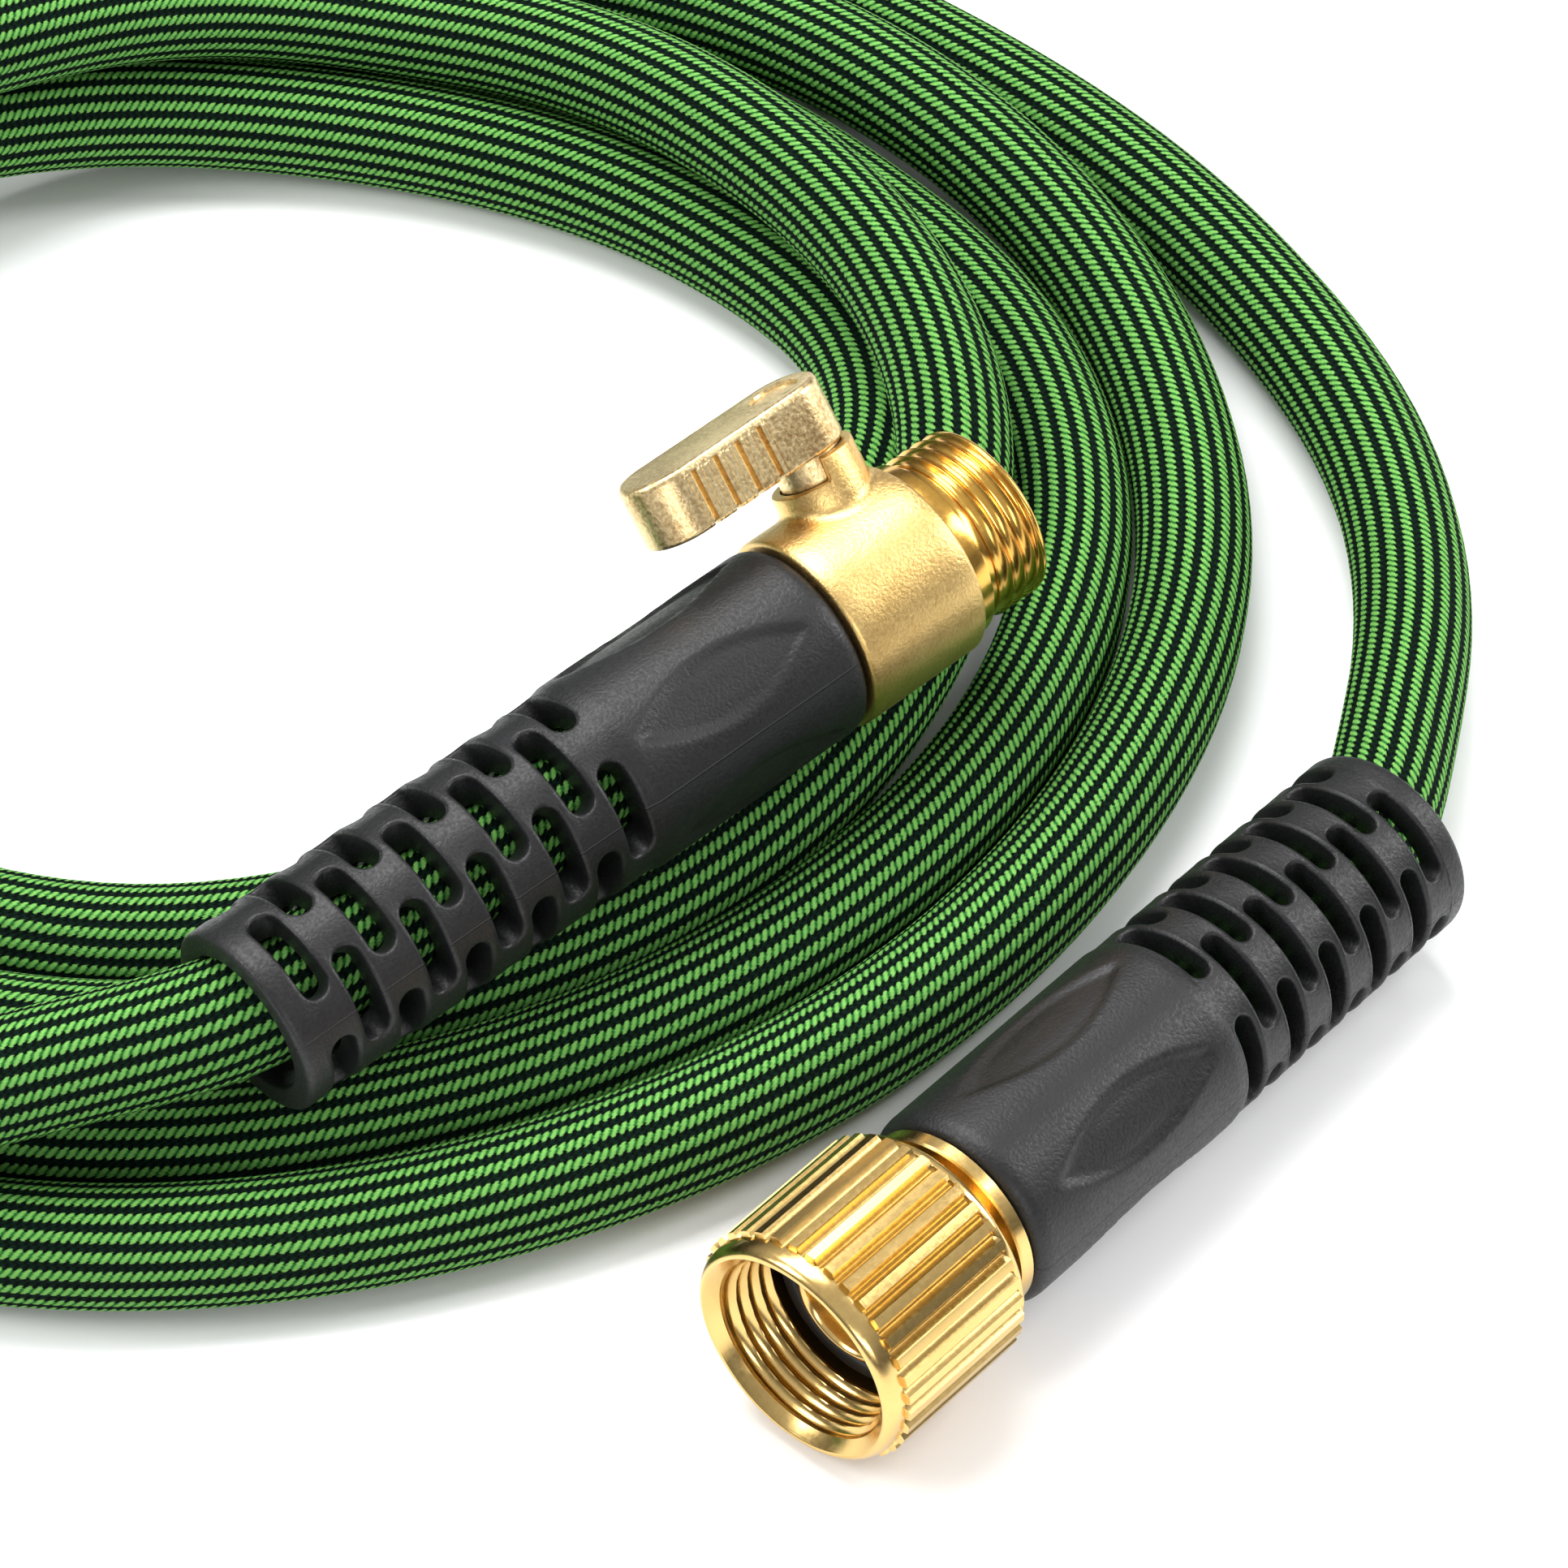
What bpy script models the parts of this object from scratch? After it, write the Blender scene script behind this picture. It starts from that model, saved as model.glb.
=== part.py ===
# Garden hose: a woven-covered hose lying in a loose coil, with a shut-off valve on one end
# and a swivel coupling on the other. Metres, +Z up. The coil lies on the floor at Z = 0.
# The coil's own axes have X along its long side; the whole is then turned so that the
# coupling's mouth faces -Y, and centred on its own outline.
import math

import bmesh
import bpy
import numpy as np
from mathutils import Euler, Matrix, Vector

mm = 0.001

# Driving sizes of the hose and its coil
clearance = 0.3 * mm
hose_diameter = 17.0 * mm
coil_half_length = 101.0 * mm
coil_half_width = 85.0 * mm
coil_turned = math.radians(41.5)
coil_start = -13.0
coil_end = 1691.0
last_bend_from = 1600.0
nodes_per_turn = 15
chord_parts = 8
rise_length = 74.0 * mm
height_passes = 14
hose_bevel_resolution = 4

# Where the hose lies: degrees travelled round the coil from its right-hand side, and the
# lane there, counted outwards from the innermost turn in hose widths
lanes = [
    (-16, 4.14), (0, 3.86), (20, 3.27), (45, 2.93), (70, 3.14), (90, 3.28), (115, 3.10), (140, 3.04), (180, 3.02),
    (225, 3.02), (265, 3.02), (290, 2.72), (310, 2.46), (330, 2.24), (355, 2.15), (380, 2.08), (405, 2.02),
    (416, 2.06), (430, 2.14), (450, 2.26), (475, 2.07), (500, 2.03), (540, 2.01), (585, 2.01), (625, 2.01),
    (645, 1.72), (660, 1.50), (672, 1.34), (690, 1.20), (720, 1.14), (740, 1.07), (750, 1.00), (758, 0.95),
    (770, 1.02), (785, 1.12), (810, 1.22), (821, 1.17), (834, 1.02), (847, 0.80), (860, 0.54), (875, 0.26),
    (900, -0.03), (925, -0.10), (950, -0.06), (985, -0.03), (1005, -0.31), (1020, -0.53), (1032, -0.69),
    (1050, -0.84), (1060, -0.86), (1070, -0.78), (1080, -0.58), (1091, -0.33), (1102, -0.17), (1125, -0.17),
    (1150, -0.12), (1170, 0.0), (1185, 0.06), (1195, 0.02), (1207, -0.06), (1220, -0.06), (1235, 0.12),
    (1250, 0.45), (1265, 0.76), (1280, 0.95), (1305, 1.00), (1345, 0.98), (1365, 0.70),
    (1380, 0.48), (1392, 0.32), (1410, 0.18), (1420, 0.15), (1440, 0.12), (1460, 0.06),
    (1474, 0.10), (1484, 0.18), (1494, 0.33), (1504, 0.50), (1520, 0.56), (1535, 0.45), (1545, 0.22),
    (1555, -0.06), (1565, -0.22), (1577, -0.12), (1590, 0.30), (1600, 0.82), (1612, 1.65), (1625, 2.65),
    (1640, 3.65), (1655, 4.25), (1668, 4.20), (1680, 3.75), (1690, 3.08), (1697, 2.62), (1703, 2.30),
]

# Driving sizes of the two moulded grips; each has a slotted bend relief at its hose end
relief_end_ring = 3.4 * mm
slot_share = 0.72
slot_angle = math.radians(62)
slots_per_row = 4
relief_rows = 10
grip_sides = 32
relief_bore = 9.6 * mm
relief_mouth_bore = 11.9 * mm
relief_flare = 30.0 * mm
hose_in_grip = 63.0 * mm
run_room = 1.3 * mm
tail_radius = 11.0 * mm
tail_length = 14.0 * mm
edge_round = 0.8 * mm

# Valve end: place of the grip's front edge in the coil's axes, heading and upward tilt
valve_place = Vector((80.4, -54.1, 38.6)) * mm
valve_heading = math.radians(41.7)
valve_tilt = math.radians(3.0)
valve_relief_length = 60.0 * mm
valve_relief_diameter = 27.6 * mm
valve_grip_length = 38.0 * mm
valve_grip_diameter = 29.2 * mm
valve_slot_phase = math.radians(16.0)
valve_body_diameter = 29.8 * mm
valve_body_length = 20.6 * mm
valve_neck_diameter = 22.8 * mm
valve_neck_length = 2.2 * mm
thread_diameter = 26.9 * mm
thread_pitch = 2.2087 * mm
thread_depth = 1.1 * mm
thread_turns = 5
outlet_bore_diameter = 18.0 * mm
outlet_bore_depth = 9.6 * mm
waterway_diameter = 10.6 * mm
ball_diameter = 16.4 * mm
stem_from_grip = 13.2 * mm
stem_lean = math.radians(38.0)
stem_diameter = 5.0 * mm
boss_diameter = 13.8 * mm
boss_height = 19.4 * mm
lever_underside = 21.6 * mm
lever_thickness = 9.6 * mm
lever_width = 12.2 * mm
lever_reach = 27.2 * mm
lever_edge = 1.3 * mm
lever_hub_diameter = 10.0 * mm
lever_groove_width = 0.9 * mm
lever_groove_depth = 0.9 * mm
lever_groove_pitch = 3.9 * mm
lever_grooves = 4
lever_first_groove = 7.6 * mm
lever_recess_diameter = 7.0 * mm
lever_recess_depth = 0.8 * mm

# Coupling end: place of the grip's hose end in the coil's axes and heading of its mouth
coupling_place = Vector((160.8, -70.1, 0.0)) * mm
coupling_heading = math.radians(228.5)
coupling_relief_length = 48.5 * mm
coupling_relief_diameter = 28.8 * mm
coupling_grip_length = 42.8 * mm
coupling_grip_diameter = 29.9 * mm
coupling_slot_phase = math.radians(57.0)
collar_diameter = 27.6 * mm
collar_length = 2.2 * mm
insert_neck_diameter = 21.0 * mm
insert_neck_length = 2.8 * mm
insert_flange_diameter = 25.4 * mm
insert_flange_length = 2.4 * mm
insert_tip_diameter = 17.0 * mm
insert_bore_diameter = 12.6 * mm
insert_tip_depth = 10.4 * mm
nut_length = 27.0 * mm
nut_diameter = 35.2 * mm
nut_ribs = 36
nut_rib_depth = 0.9 * mm
nut_rear_ring = 2.0 * mm
nut_front_ring = 3.2 * mm
nut_mouth_diameter = 30.4 * mm
nut_mouth_chamfer = 1.7 * mm
nut_thread_root_diameter = 27.6 * mm
nut_thread_turns = 4
washer_length = 2.8 * mm
washer_depth = 11.6 * mm
washer_bore_diameter = 17.9 * mm
turned_sides = 36

# Values that follow
hose_radius = hose_diameter / 2
lane_pitch = hose_diameter + clearance
resting_pitch = hose_diameter + clearance / 3
side_pitch = resting_pitch * math.cos(math.pi / nodes_per_turn)
coupling_tilt = math.asin((nut_diameter - coupling_relief_diameter) / 2
                          / (coupling_relief_length + coupling_grip_length + collar_length + insert_neck_length))


def clear_scene():
    for item in list(bpy.data.objects):
        bpy.data.objects.remove(item, do_unlink=True)


def finish(name, color, metallic, roughness):
    material = bpy.data.materials.new(name)
    material.use_nodes = True
    shader = material.node_tree.nodes["Principled BSDF"]
    shader.inputs["Base Color"].default_value = (*color, 1.0)
    shader.inputs["Metallic"].default_value = metallic
    shader.inputs["Roughness"].default_value = roughness
    return material


def through_keys(keys, wanted):
    """Value of a smooth curve through (position, value) keys, with its slope from the neighbouring keys."""
    at = np.array([key[0] for key in keys], float)
    value = np.array([key[1] for key in keys], float)
    slope = np.gradient(value, at)
    first = np.clip(np.searchsorted(at, wanted, side="right") - 1, 0, len(at) - 2)
    span = at[first + 1] - at[first]
    part = (wanted - at[first]) / span
    left = value[first] * (1 + 2 * part) * (1 - part) ** 2 + slope[first] * span * part * (1 - part) ** 2
    right = value[first + 1] * part ** 2 * (3 - 2 * part) + slope[first + 1] * span * part ** 2 * (part - 1)
    return left + right


def coil_plan():
    """Plan points of the coil: an oval, moved outwards along its own normal by each point's lane."""
    degrees = np.linspace(coil_start, coil_end, round((coil_end - coil_start) * nodes_per_turn / 360) + 1)
    last_bend = degrees[degrees > last_bend_from]
    degrees = np.sort(np.concatenate([degrees, (last_bend[1:] + last_bend[:-1]) / 2]))
    angle = np.radians(degrees)
    oval = np.stack([coil_half_length * np.cos(angle), coil_half_width * np.sin(angle)], 1)
    normal = np.stack([np.cos(angle) / coil_half_length, np.sin(angle) / coil_half_width], 1)
    normal /= np.linalg.norm(normal, axis=1)[:, None]
    return oval + normal * (through_keys(lanes, degrees) * lane_pitch)[:, None]


def travelled(points):
    return np.concatenate([[0.0], np.cumsum(np.linalg.norm(np.diff(points, axis=0), axis=1))])


def rising(distance):
    """Share of a lift that is left at a distance along the hose: a long low hump."""
    return np.where(distance < rise_length, 0.5 * (1 + np.cos(np.pi * distance / rise_length)), 0.0)


def resting_heights(plan, given):
    """Height of each point, laid in order: as low as the floor and the hose under it allow, in long humps."""
    count = len(plan)
    part = np.arange((count - 1) * chord_parts + 1) / chord_parts
    first = np.minimum(part.astype(int), count - 2)
    share = part - first
    dense = plan[first] * (1 - share)[:, None] + plan[first + 1] * share[:, None]
    along = travelled(dense)
    apart = np.linalg.norm(dense[:, None] - dense[None], axis=2)
    earlier = along[:, None] - along[None] > 3 * hose_diameter
    crossing = earlier & (apart < side_pitch)
    lift = resting_pitch * np.sqrt(np.maximum(1 - (apart / side_pitch) ** 2, 0.0))
    spread = rising(np.abs(travelled(plan)[:, None] - travelled(plan)[None]))
    weight = (1 - share) ** 2 + share ** 2
    ends = np.maximum(given - hose_radius, 0.0)
    lifted = ends
    eased = np.zeros(count)
    for _ in range(height_passes):
        height = hose_radius + np.maximum((spread * lifted).max(axis=1), eased)
        level = height[first] * (1 - share) + height[first + 1] * share
        need = np.where(crossing, level[None] + lift, hose_radius).max(axis=1)
        lifted = np.maximum(ends, need[::chord_parts] - hose_radius)
        short = np.maximum(need - level, 0.0)
        np.maximum.at(eased, first, height[first] - hose_radius + short * (1 - share) / weight)
        np.maximum.at(eased, first + 1, height[first + 1] - hose_radius + short * share / weight)
    return height


def axis_direction(heading, tilt):
    return Vector((math.cos(heading) * math.cos(tilt), math.sin(heading) * math.cos(tilt), math.sin(tilt)))


def run_in_grip(hose_end, inward, sideways):
    """Hose points inside a grip, from its end to the relief's mouth, where it bends sideways in the flare."""
    points = []
    for depth in (hose_in_grip, relief_flare, relief_flare * 0.45, 0.0):
        bend = (1 - depth / relief_flare) ** 2 if depth < relief_flare else 0.0
        points.append(hose_end + inward * depth + sideways * bend)
    return points


def hose_route():
    coupling_axis = axis_direction(coupling_heading, coupling_tilt)
    coupling_end = coupling_place + Vector((0, 0, coupling_relief_diameter / 2 * math.cos(coupling_tilt)))
    valve_axis = axis_direction(valve_heading, valve_tilt)
    valve_end = valve_place - valve_axis * (valve_relief_length + valve_grip_length)
    side = relief_mouth_bore - hose_radius - run_room
    left_of_coupling = Vector((math.sin(coupling_heading), -math.cos(coupling_heading), -0.3)).normalized() * side
    left_of_valve = Vector((-math.sin(valve_heading), math.cos(valve_heading), -0.2)).normalized() * side
    start = run_in_grip(coupling_end, coupling_axis, left_of_coupling)
    finish_run = run_in_grip(valve_end, valve_axis, left_of_valve)[::-1]
    plan = coil_plan()
    plan = np.concatenate([[start[-1][:2]], plan, [finish_run[0][:2]]])
    given = np.zeros(len(plan))
    given[0] = start[-1].z
    given[-1] = finish_run[0].z
    heights = resting_heights(plan, given)
    laid = [Vector((x, y, z)) for (x, y), z in zip(plan[1:-1], heights[1:-1])]
    return start + laid + finish_run


def make_hose(material):
    curve = bpy.data.curves.new("hose", "CURVE")
    curve.dimensions = "3D"
    curve.twist_mode = "Z_UP"
    curve.bevel_depth = hose_radius
    curve.bevel_resolution = hose_bevel_resolution
    curve.use_fill_caps = True
    route = hose_route()
    spline = curve.splines.new("POLY")
    spline.points.add(len(route) - 1)
    for point, place in zip(spline.points, route):
        point.co = (*place, 1.0)
    curve.materials.append(material)
    hose = bpy.data.objects.new("hose", curve)
    bpy.context.collection.objects.link(hose)
    return hose


def mesh_object(name, mesh_builder, material, parent):
    """New object from bmesh work, with its faces turned outwards and shaded smooth."""
    build = bmesh.new()
    mesh_builder(build)
    bmesh.ops.recalc_face_normals(build, faces=build.faces)
    mesh = bpy.data.meshes.new(name)
    build.to_mesh(mesh)
    build.free()
    mesh.shade_smooth()
    mesh.set_sharp_from_angle(angle=math.radians(35))
    if material:
        mesh.materials.append(material)
    item = bpy.data.objects.new(name, mesh)
    bpy.context.collection.objects.link(item)
    item.parent = parent
    return item


def turn_profile(build, profile, sides):
    """Spins (x, radius) points about the X axis; the profile closes on itself round a bore."""
    corners = [build.verts.new((x, 0, radius)) for x, radius in profile]
    edges = [build.edges.new(pair) for pair in zip(corners, corners[1:] + corners[:1])]
    bmesh.ops.spin(build, geom=corners + edges, cent=(0, 0, 0), axis=(1, 0, 0), angle=2 * math.pi,
                   steps=sides, use_merge=True)
    bmesh.ops.remove_doubles(build, verts=build.verts, dist=0.001 * mm)


def turned(name, profile, material, parent, sides=turned_sides):
    return mesh_object(name, lambda build: turn_profile(build, profile, sides), material, parent)


def hide_cutter(cutter):
    cutter.hide_render = True
    cutter.display_type = "WIRE"


def cut(item, cutter, operation="DIFFERENCE"):
    modifier = item.modifiers.new(cutter.name, "BOOLEAN")
    modifier.operation = operation
    modifier.solver = "EXACT"
    modifier.object = cutter
    hide_cutter(cutter)


def rounded_slot(half_length, half_width, arc_steps=2):
    """Outline of a stadium, round ends on its long sides' ends, anticlockwise."""
    straight = half_length - half_width
    outline = []
    for end, start in ((straight, -90), (-straight, 90)):
        for step in range(arc_steps + 1):
            turn = math.radians(start + 180 * step / arc_steps)
            outline.append((end + half_width * math.cos(turn), half_width * math.sin(turn)))
    return outline


def add_relief_slots(build, first_x, row_pitch, outer, phase):
    """Slots that follow the round wall, in rows; each row is turned by half a slot spacing from the last."""
    inner = relief_bore * 0.7
    beyond = outer * 1.2
    half_width = row_pitch * slot_share / 2
    half_length = outer * slot_angle / 2
    for row in range(relief_rows):
        centre_x = first_x + row_pitch * (row + 0.5)
        for slot in range(slots_per_row):
            middle = phase + (slot + 0.5 * (row % 2)) * 2 * math.pi / slots_per_row
            walls = []
            for radius in (inner, beyond):
                wall = []
                for around, along in rounded_slot(half_length, half_width):
                    angle = middle + around / outer
                    wall.append(build.verts.new((centre_x + along, radius * math.cos(angle), radius * math.sin(angle))))
                walls.append(wall)
            low, high = walls
            count = len(low)
            for index in range(count):
                after = (index + 1) % count
                build.faces.new((low[index], low[after], high[after], high[index]))
            for wall in walls:
                close_strip(build, wall)


def close_strip(build, wall):
    """Closes a curved outline with faces that run across it, so that each stays nearly flat."""
    count = len(wall)
    left = count - 1
    right = 0
    while left - right > 1:
        if left - right == 2:
            build.faces.new((wall[right], wall[right + 1], wall[left]))
            return
        build.faces.new((wall[right], wall[right + 1], wall[left - 1], wall[left]))
        right += 1
        left -= 1


def make_grip(name, relief_length, relief_diameter, grip_length, grip_diameter, slot_phase, material, parent):
    """Moulded sleeve along +X from its hose end: slotted bend relief, then the plain grip."""
    length = relief_length + grip_length
    relief_radius = relief_diameter / 2
    grip_radius = grip_diameter / 2
    profile = [
        (0, relief_mouth_bore), (0, relief_radius - edge_round), (edge_round, relief_radius),
        (relief_length, relief_radius + (grip_radius - relief_radius) * 0.5),
        (relief_length + 2 * edge_round, grip_radius), (length - edge_round, grip_radius),
        (length, grip_radius - edge_round), (length, tail_radius + clearance),
        (length - tail_length - clearance, tail_radius + clearance),
        (length - tail_length - clearance, relief_bore), (relief_flare, relief_bore),
        (relief_flare * 0.5, relief_bore + (relief_mouth_bore - relief_bore) * 0.3),
    ]
    grip = turned(name, profile, material, parent, grip_sides)
    row_pitch = (relief_length - relief_end_ring) / relief_rows

    def slot_rows(build):
        add_relief_slots(build, relief_end_ring, row_pitch, relief_radius, slot_phase)

    cut(grip, mesh_object(name + "_slots", slot_rows, None, parent))
    return grip


def thread_profile(start, turns, crest, depth, pitch):
    """Crests and roots of a screw thread as rings, along +X from start."""
    points = []
    for turn in range(turns):
        base = start + turn * pitch
        points += [(base, crest - depth), (base + 0.28 * pitch, crest), (base + 0.62 * pitch, crest),
                   (base + 0.9 * pitch, crest - depth)]
    return points


def valve_body_profile(grip_front):
    """Section of the valve body, from the tail in the grip to the outlet's end and back along the bore."""
    body_radius = valve_body_diameter / 2
    rim = grip_front + clearance + valve_body_length
    neck_end = rim + valve_neck_length
    crest = thread_diameter / 2
    outlet = neck_end + thread_turns * thread_pitch
    bore = waterway_diameter / 2
    centre = grip_front + stem_from_grip
    cavity = ball_diameter / 2 + clearance
    half_gap = math.sqrt(cavity ** 2 - bore ** 2)
    reach = math.asin(half_gap / cavity)
    profile = [
        (grip_front - tail_length, tail_radius), (grip_front + clearance, tail_radius),
        (grip_front + clearance, body_radius - edge_round), (grip_front + clearance + edge_round, body_radius),
        (rim - edge_round, body_radius), (rim, body_radius - edge_round), (rim, valve_neck_diameter / 2),
        (neck_end, valve_neck_diameter / 2),
    ]
    profile += thread_profile(neck_end + 0.02 * mm, thread_turns, crest, thread_depth, thread_pitch)
    profile += [
        (outlet, crest - thread_depth), (outlet, outlet_bore_diameter / 2),
        (outlet - outlet_bore_depth, outlet_bore_diameter / 2), (outlet - outlet_bore_depth, bore),
    ]
    for step in range(9):
        angle = reach - 2 * reach * step / 8
        profile.append((centre + cavity * math.sin(angle), cavity * math.cos(angle)))
    profile.append((grip_front - tail_length, bore))
    return profile


def cylinder_up(name, diameter, low, high, material, parent, sides=32):
    """Upright cylinder about the local Z axis, from height low to height high."""
    def build_it(build):
        bmesh.ops.create_cone(build, cap_ends=True, segments=sides, radius1=diameter / 2, radius2=diameter / 2,
                              depth=high - low, matrix=Matrix.Translation((0, 0, (low + high) / 2)))
    return mesh_object(name, build_it, material, parent)


def make_valve(materials, parent):
    """Valve along +X from the grip's hose end: body, ball, stem and lever."""
    grip_front = valve_relief_length + valve_grip_length
    body = turned("valve_body", valve_body_profile(grip_front), materials["brass"], parent)
    stem_axis = bpy.data.objects.new("stem_axis", None)
    bpy.context.collection.objects.link(stem_axis)
    stem_axis.parent = parent
    stem_axis.location = (grip_front + stem_from_grip, 0, 0)
    stem_axis.rotation_euler = Euler((-stem_lean, 0, 0))

    inside_wall = (valve_body_diameter / 2 + ball_diameter / 2) / 2
    boss = cylinder_up("stem_boss", boss_diameter, inside_wall, boss_height, None, stem_axis)
    cut(body, boss, "UNION")
    stem_hole = cylinder_up("stem_hole", stem_diameter + 2 * clearance, ball_diameter / 4, boss_height + clearance,
                            None, stem_axis)
    cut(body, stem_hole)

    ball = make_ball(materials["steel"], stem_axis)
    hub_low = boss_height + clearance
    stem = cylinder_up("valve_stem", stem_diameter, ball_diameter / 2 + clearance, hub_low - clearance,
                       materials["dark_steel"], stem_axis)
    lever = make_lever(hub_low, materials["lever_brass"], stem_axis)
    return body, ball, stem, lever


def make_ball(material, parent):
    """Valve ball about the origin, bored along X so that it is open with the lever along the hose."""
    def build_it(build):
        bore = waterway_diameter / 2
        radius = ball_diameter / 2
        reach = math.acos(bore / radius)
        profile = [(radius * math.sin(reach - 2 * reach * step / 12), radius * math.cos(reach - 2 * reach * step / 12))
                   for step in range(13)]
        turn_profile(build, profile, grip_sides)
    return mesh_object("valve_ball", build_it, material, parent)


def make_lever(hub_low, material, parent):
    """Thick paddle with round ends: its pivot end is round the stem and it runs back along the hose."""
    radius = lever_width / 2
    steps = 10
    outline = []
    for end, start in ((0.0, -90), (-(lever_reach - radius), 90)):
        for step in range(steps + 1):
            turn = math.radians(start + 180 * step / steps)
            outline.append((end + radius * math.cos(turn), radius * math.sin(turn)))

    def paddle(build):
        base = build.faces.new([build.verts.new((x, y, lever_underside)) for x, y in outline])
        lifted = bmesh.ops.extrude_face_region(build, geom=[base])["geom"]
        corners = [item for item in lifted if isinstance(item, bmesh.types.BMVert)]
        bmesh.ops.translate(build, verts=corners, vec=(0, 0, lever_thickness))

    lever = mesh_object("valve_lever", paddle, material, parent)
    edge = lever.modifiers.new("edge", "BEVEL")
    edge.width = lever_edge
    edge.segments = 2
    edge.limit_method = "ANGLE"
    edge.angle_limit = math.radians(60)

    hub = cylinder_up("lever_hub", lever_hub_diameter, hub_low, lever_underside + lever_thickness / 2, None, parent)
    cut(lever, hub, "UNION")
    top = lever_underside + lever_thickness
    recess = cylinder_up("lever_recess", lever_recess_diameter, top - lever_recess_depth, top + lever_thickness,
                         None, parent)
    cut(lever, recess)

    def grooves(build):
        for side in (-1, 1):
            for number in range(lever_grooves):
                x = -lever_first_groove - number * lever_groove_pitch
                place = Matrix.Translation((x, side * (radius + lever_thickness / 2 - lever_groove_depth),
                                            lever_underside + lever_thickness / 2))
                size = Matrix.Diagonal((lever_groove_width, lever_thickness, 2 * lever_thickness, 1))
                bmesh.ops.create_cube(build, size=1, matrix=place @ size)

    cut(lever, mesh_object("lever_grooves", grooves, None, parent))
    return lever


def make_insert(back, material, parent):
    """Brass tail, collar, neck and flange; the neck passes through the nut and the tip carries the washer."""
    nut_back = back + clearance + collar_length + insert_neck_length
    mouth = nut_back + nut_length
    flange_back = mouth - washer_depth - washer_length - clearance - insert_flange_length
    flange_front = flange_back + insert_flange_length
    tip = mouth - insert_tip_depth
    bore = insert_bore_diameter / 2
    profile = [
        (back - tail_length, bore), (back - tail_length, tail_radius), (back + clearance, tail_radius),
        (back + clearance, collar_diameter / 2), (back + clearance + collar_length, collar_diameter / 2),
        (back + clearance + collar_length, insert_neck_diameter / 2), (flange_back, insert_neck_diameter / 2),
        (flange_back, insert_flange_diameter / 2), (flange_front, insert_flange_diameter / 2),
        (flange_front, insert_tip_diameter / 2), (tip, insert_tip_diameter / 2 - edge_round / 2), (tip, bore),
    ]
    return turned("coupling_insert", profile, material, parent)


def make_nut(back, material, parent):
    """Swivel nut: ribbed outside between plain rings, thread inside, and a back wall round the insert's neck."""
    nut_back = back + clearance + collar_length + insert_neck_length
    mouth = nut_back + nut_length
    radius = nut_diameter / 2
    root = nut_thread_root_diameter / 2
    seat = mouth - washer_depth - washer_length - 2 * clearance - insert_flange_length
    thread_start = mouth - washer_depth + 0.3 * thread_pitch
    profile = [
        (nut_back, insert_neck_diameter / 2 + clearance), (nut_back, radius - edge_round),
        (nut_back + edge_round, radius), (mouth - 2 * edge_round, radius), (mouth, radius - 2 * edge_round),
        (mouth, nut_mouth_diameter / 2), (mouth - nut_mouth_chamfer, root),
    ]
    ridges = thread_profile(thread_start, nut_thread_turns, root, thread_depth, thread_pitch)
    profile += [(x, 2 * root - thread_depth - r) for x, r in reversed(ridges)]
    profile += [(seat, root), (seat, insert_neck_diameter / 2 + clearance)]
    nut = turned("coupling_nut", profile, material, parent)

    def rib_gaps(build):
        low = nut_back + nut_rear_ring
        high = mouth - nut_front_ring
        half_gap = math.pi * radius / nut_ribs / 2
        floor_half = half_gap * 0.35
        for number in range(nut_ribs):
            turn = Matrix.Rotation(2 * math.pi * number / nut_ribs, 4, "X")
            section = [(-floor_half, radius - nut_rib_depth), (floor_half, radius - nut_rib_depth),
                       (2 * half_gap, radius + nut_rib_depth), (-2 * half_gap, radius + nut_rib_depth)]
            ends = [[build.verts.new(turn @ Vector((x, y, z))) for y, z in section] for x in (low, high)]
            build.faces.new(ends[0])
            build.faces.new(ends[1][::-1])
            for index in range(4):
                after = (index + 1) % 4
                build.faces.new((ends[0][index], ends[1][index], ends[1][after], ends[0][after]))

    cut(nut, mesh_object("nut_rib_gaps", rib_gaps, None, parent))
    return nut


def make_washer(back, material, parent):
    nut_back = back + clearance + collar_length + insert_neck_length
    front = nut_back + nut_length - washer_depth
    outer = nut_thread_root_diameter / 2 - thread_depth - clearance
    inner = washer_bore_diameter / 2
    profile = [(front - washer_length, inner), (front - washer_length, outer), (front, outer), (front, inner)]
    return turned("coupling_washer", profile, material, parent)


def fitting_frame(name, place, heading, tilt, parent):
    """Empty at the hose end of a fitting, with +X along the fitting towards its outlet."""
    frame = bpy.data.objects.new(name, None)
    bpy.context.collection.objects.link(frame)
    frame.parent = parent
    frame.location = place
    frame.rotation_euler = Euler((0, -tilt, heading))
    return frame


def centre_outline(root, items):
    """Moves the whole so that its outline's bottom centre is at the origin."""
    bpy.context.view_layer.update()
    graph = bpy.context.evaluated_depsgraph_get()
    corners = []
    for item in items:
        solid = item.evaluated_get(graph)
        mesh = solid.to_mesh()
        corners += [solid.matrix_world @ vertex.co for vertex in mesh.vertices]
        solid.to_mesh_clear()
    low = Vector(min(corner[axis] for corner in corners) for axis in range(3))
    high = Vector(max(corner[axis] for corner in corners) for axis in range(3))
    root.location -= Vector(((low.x + high.x) / 2, (low.y + high.y) / 2, low.z))


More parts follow.
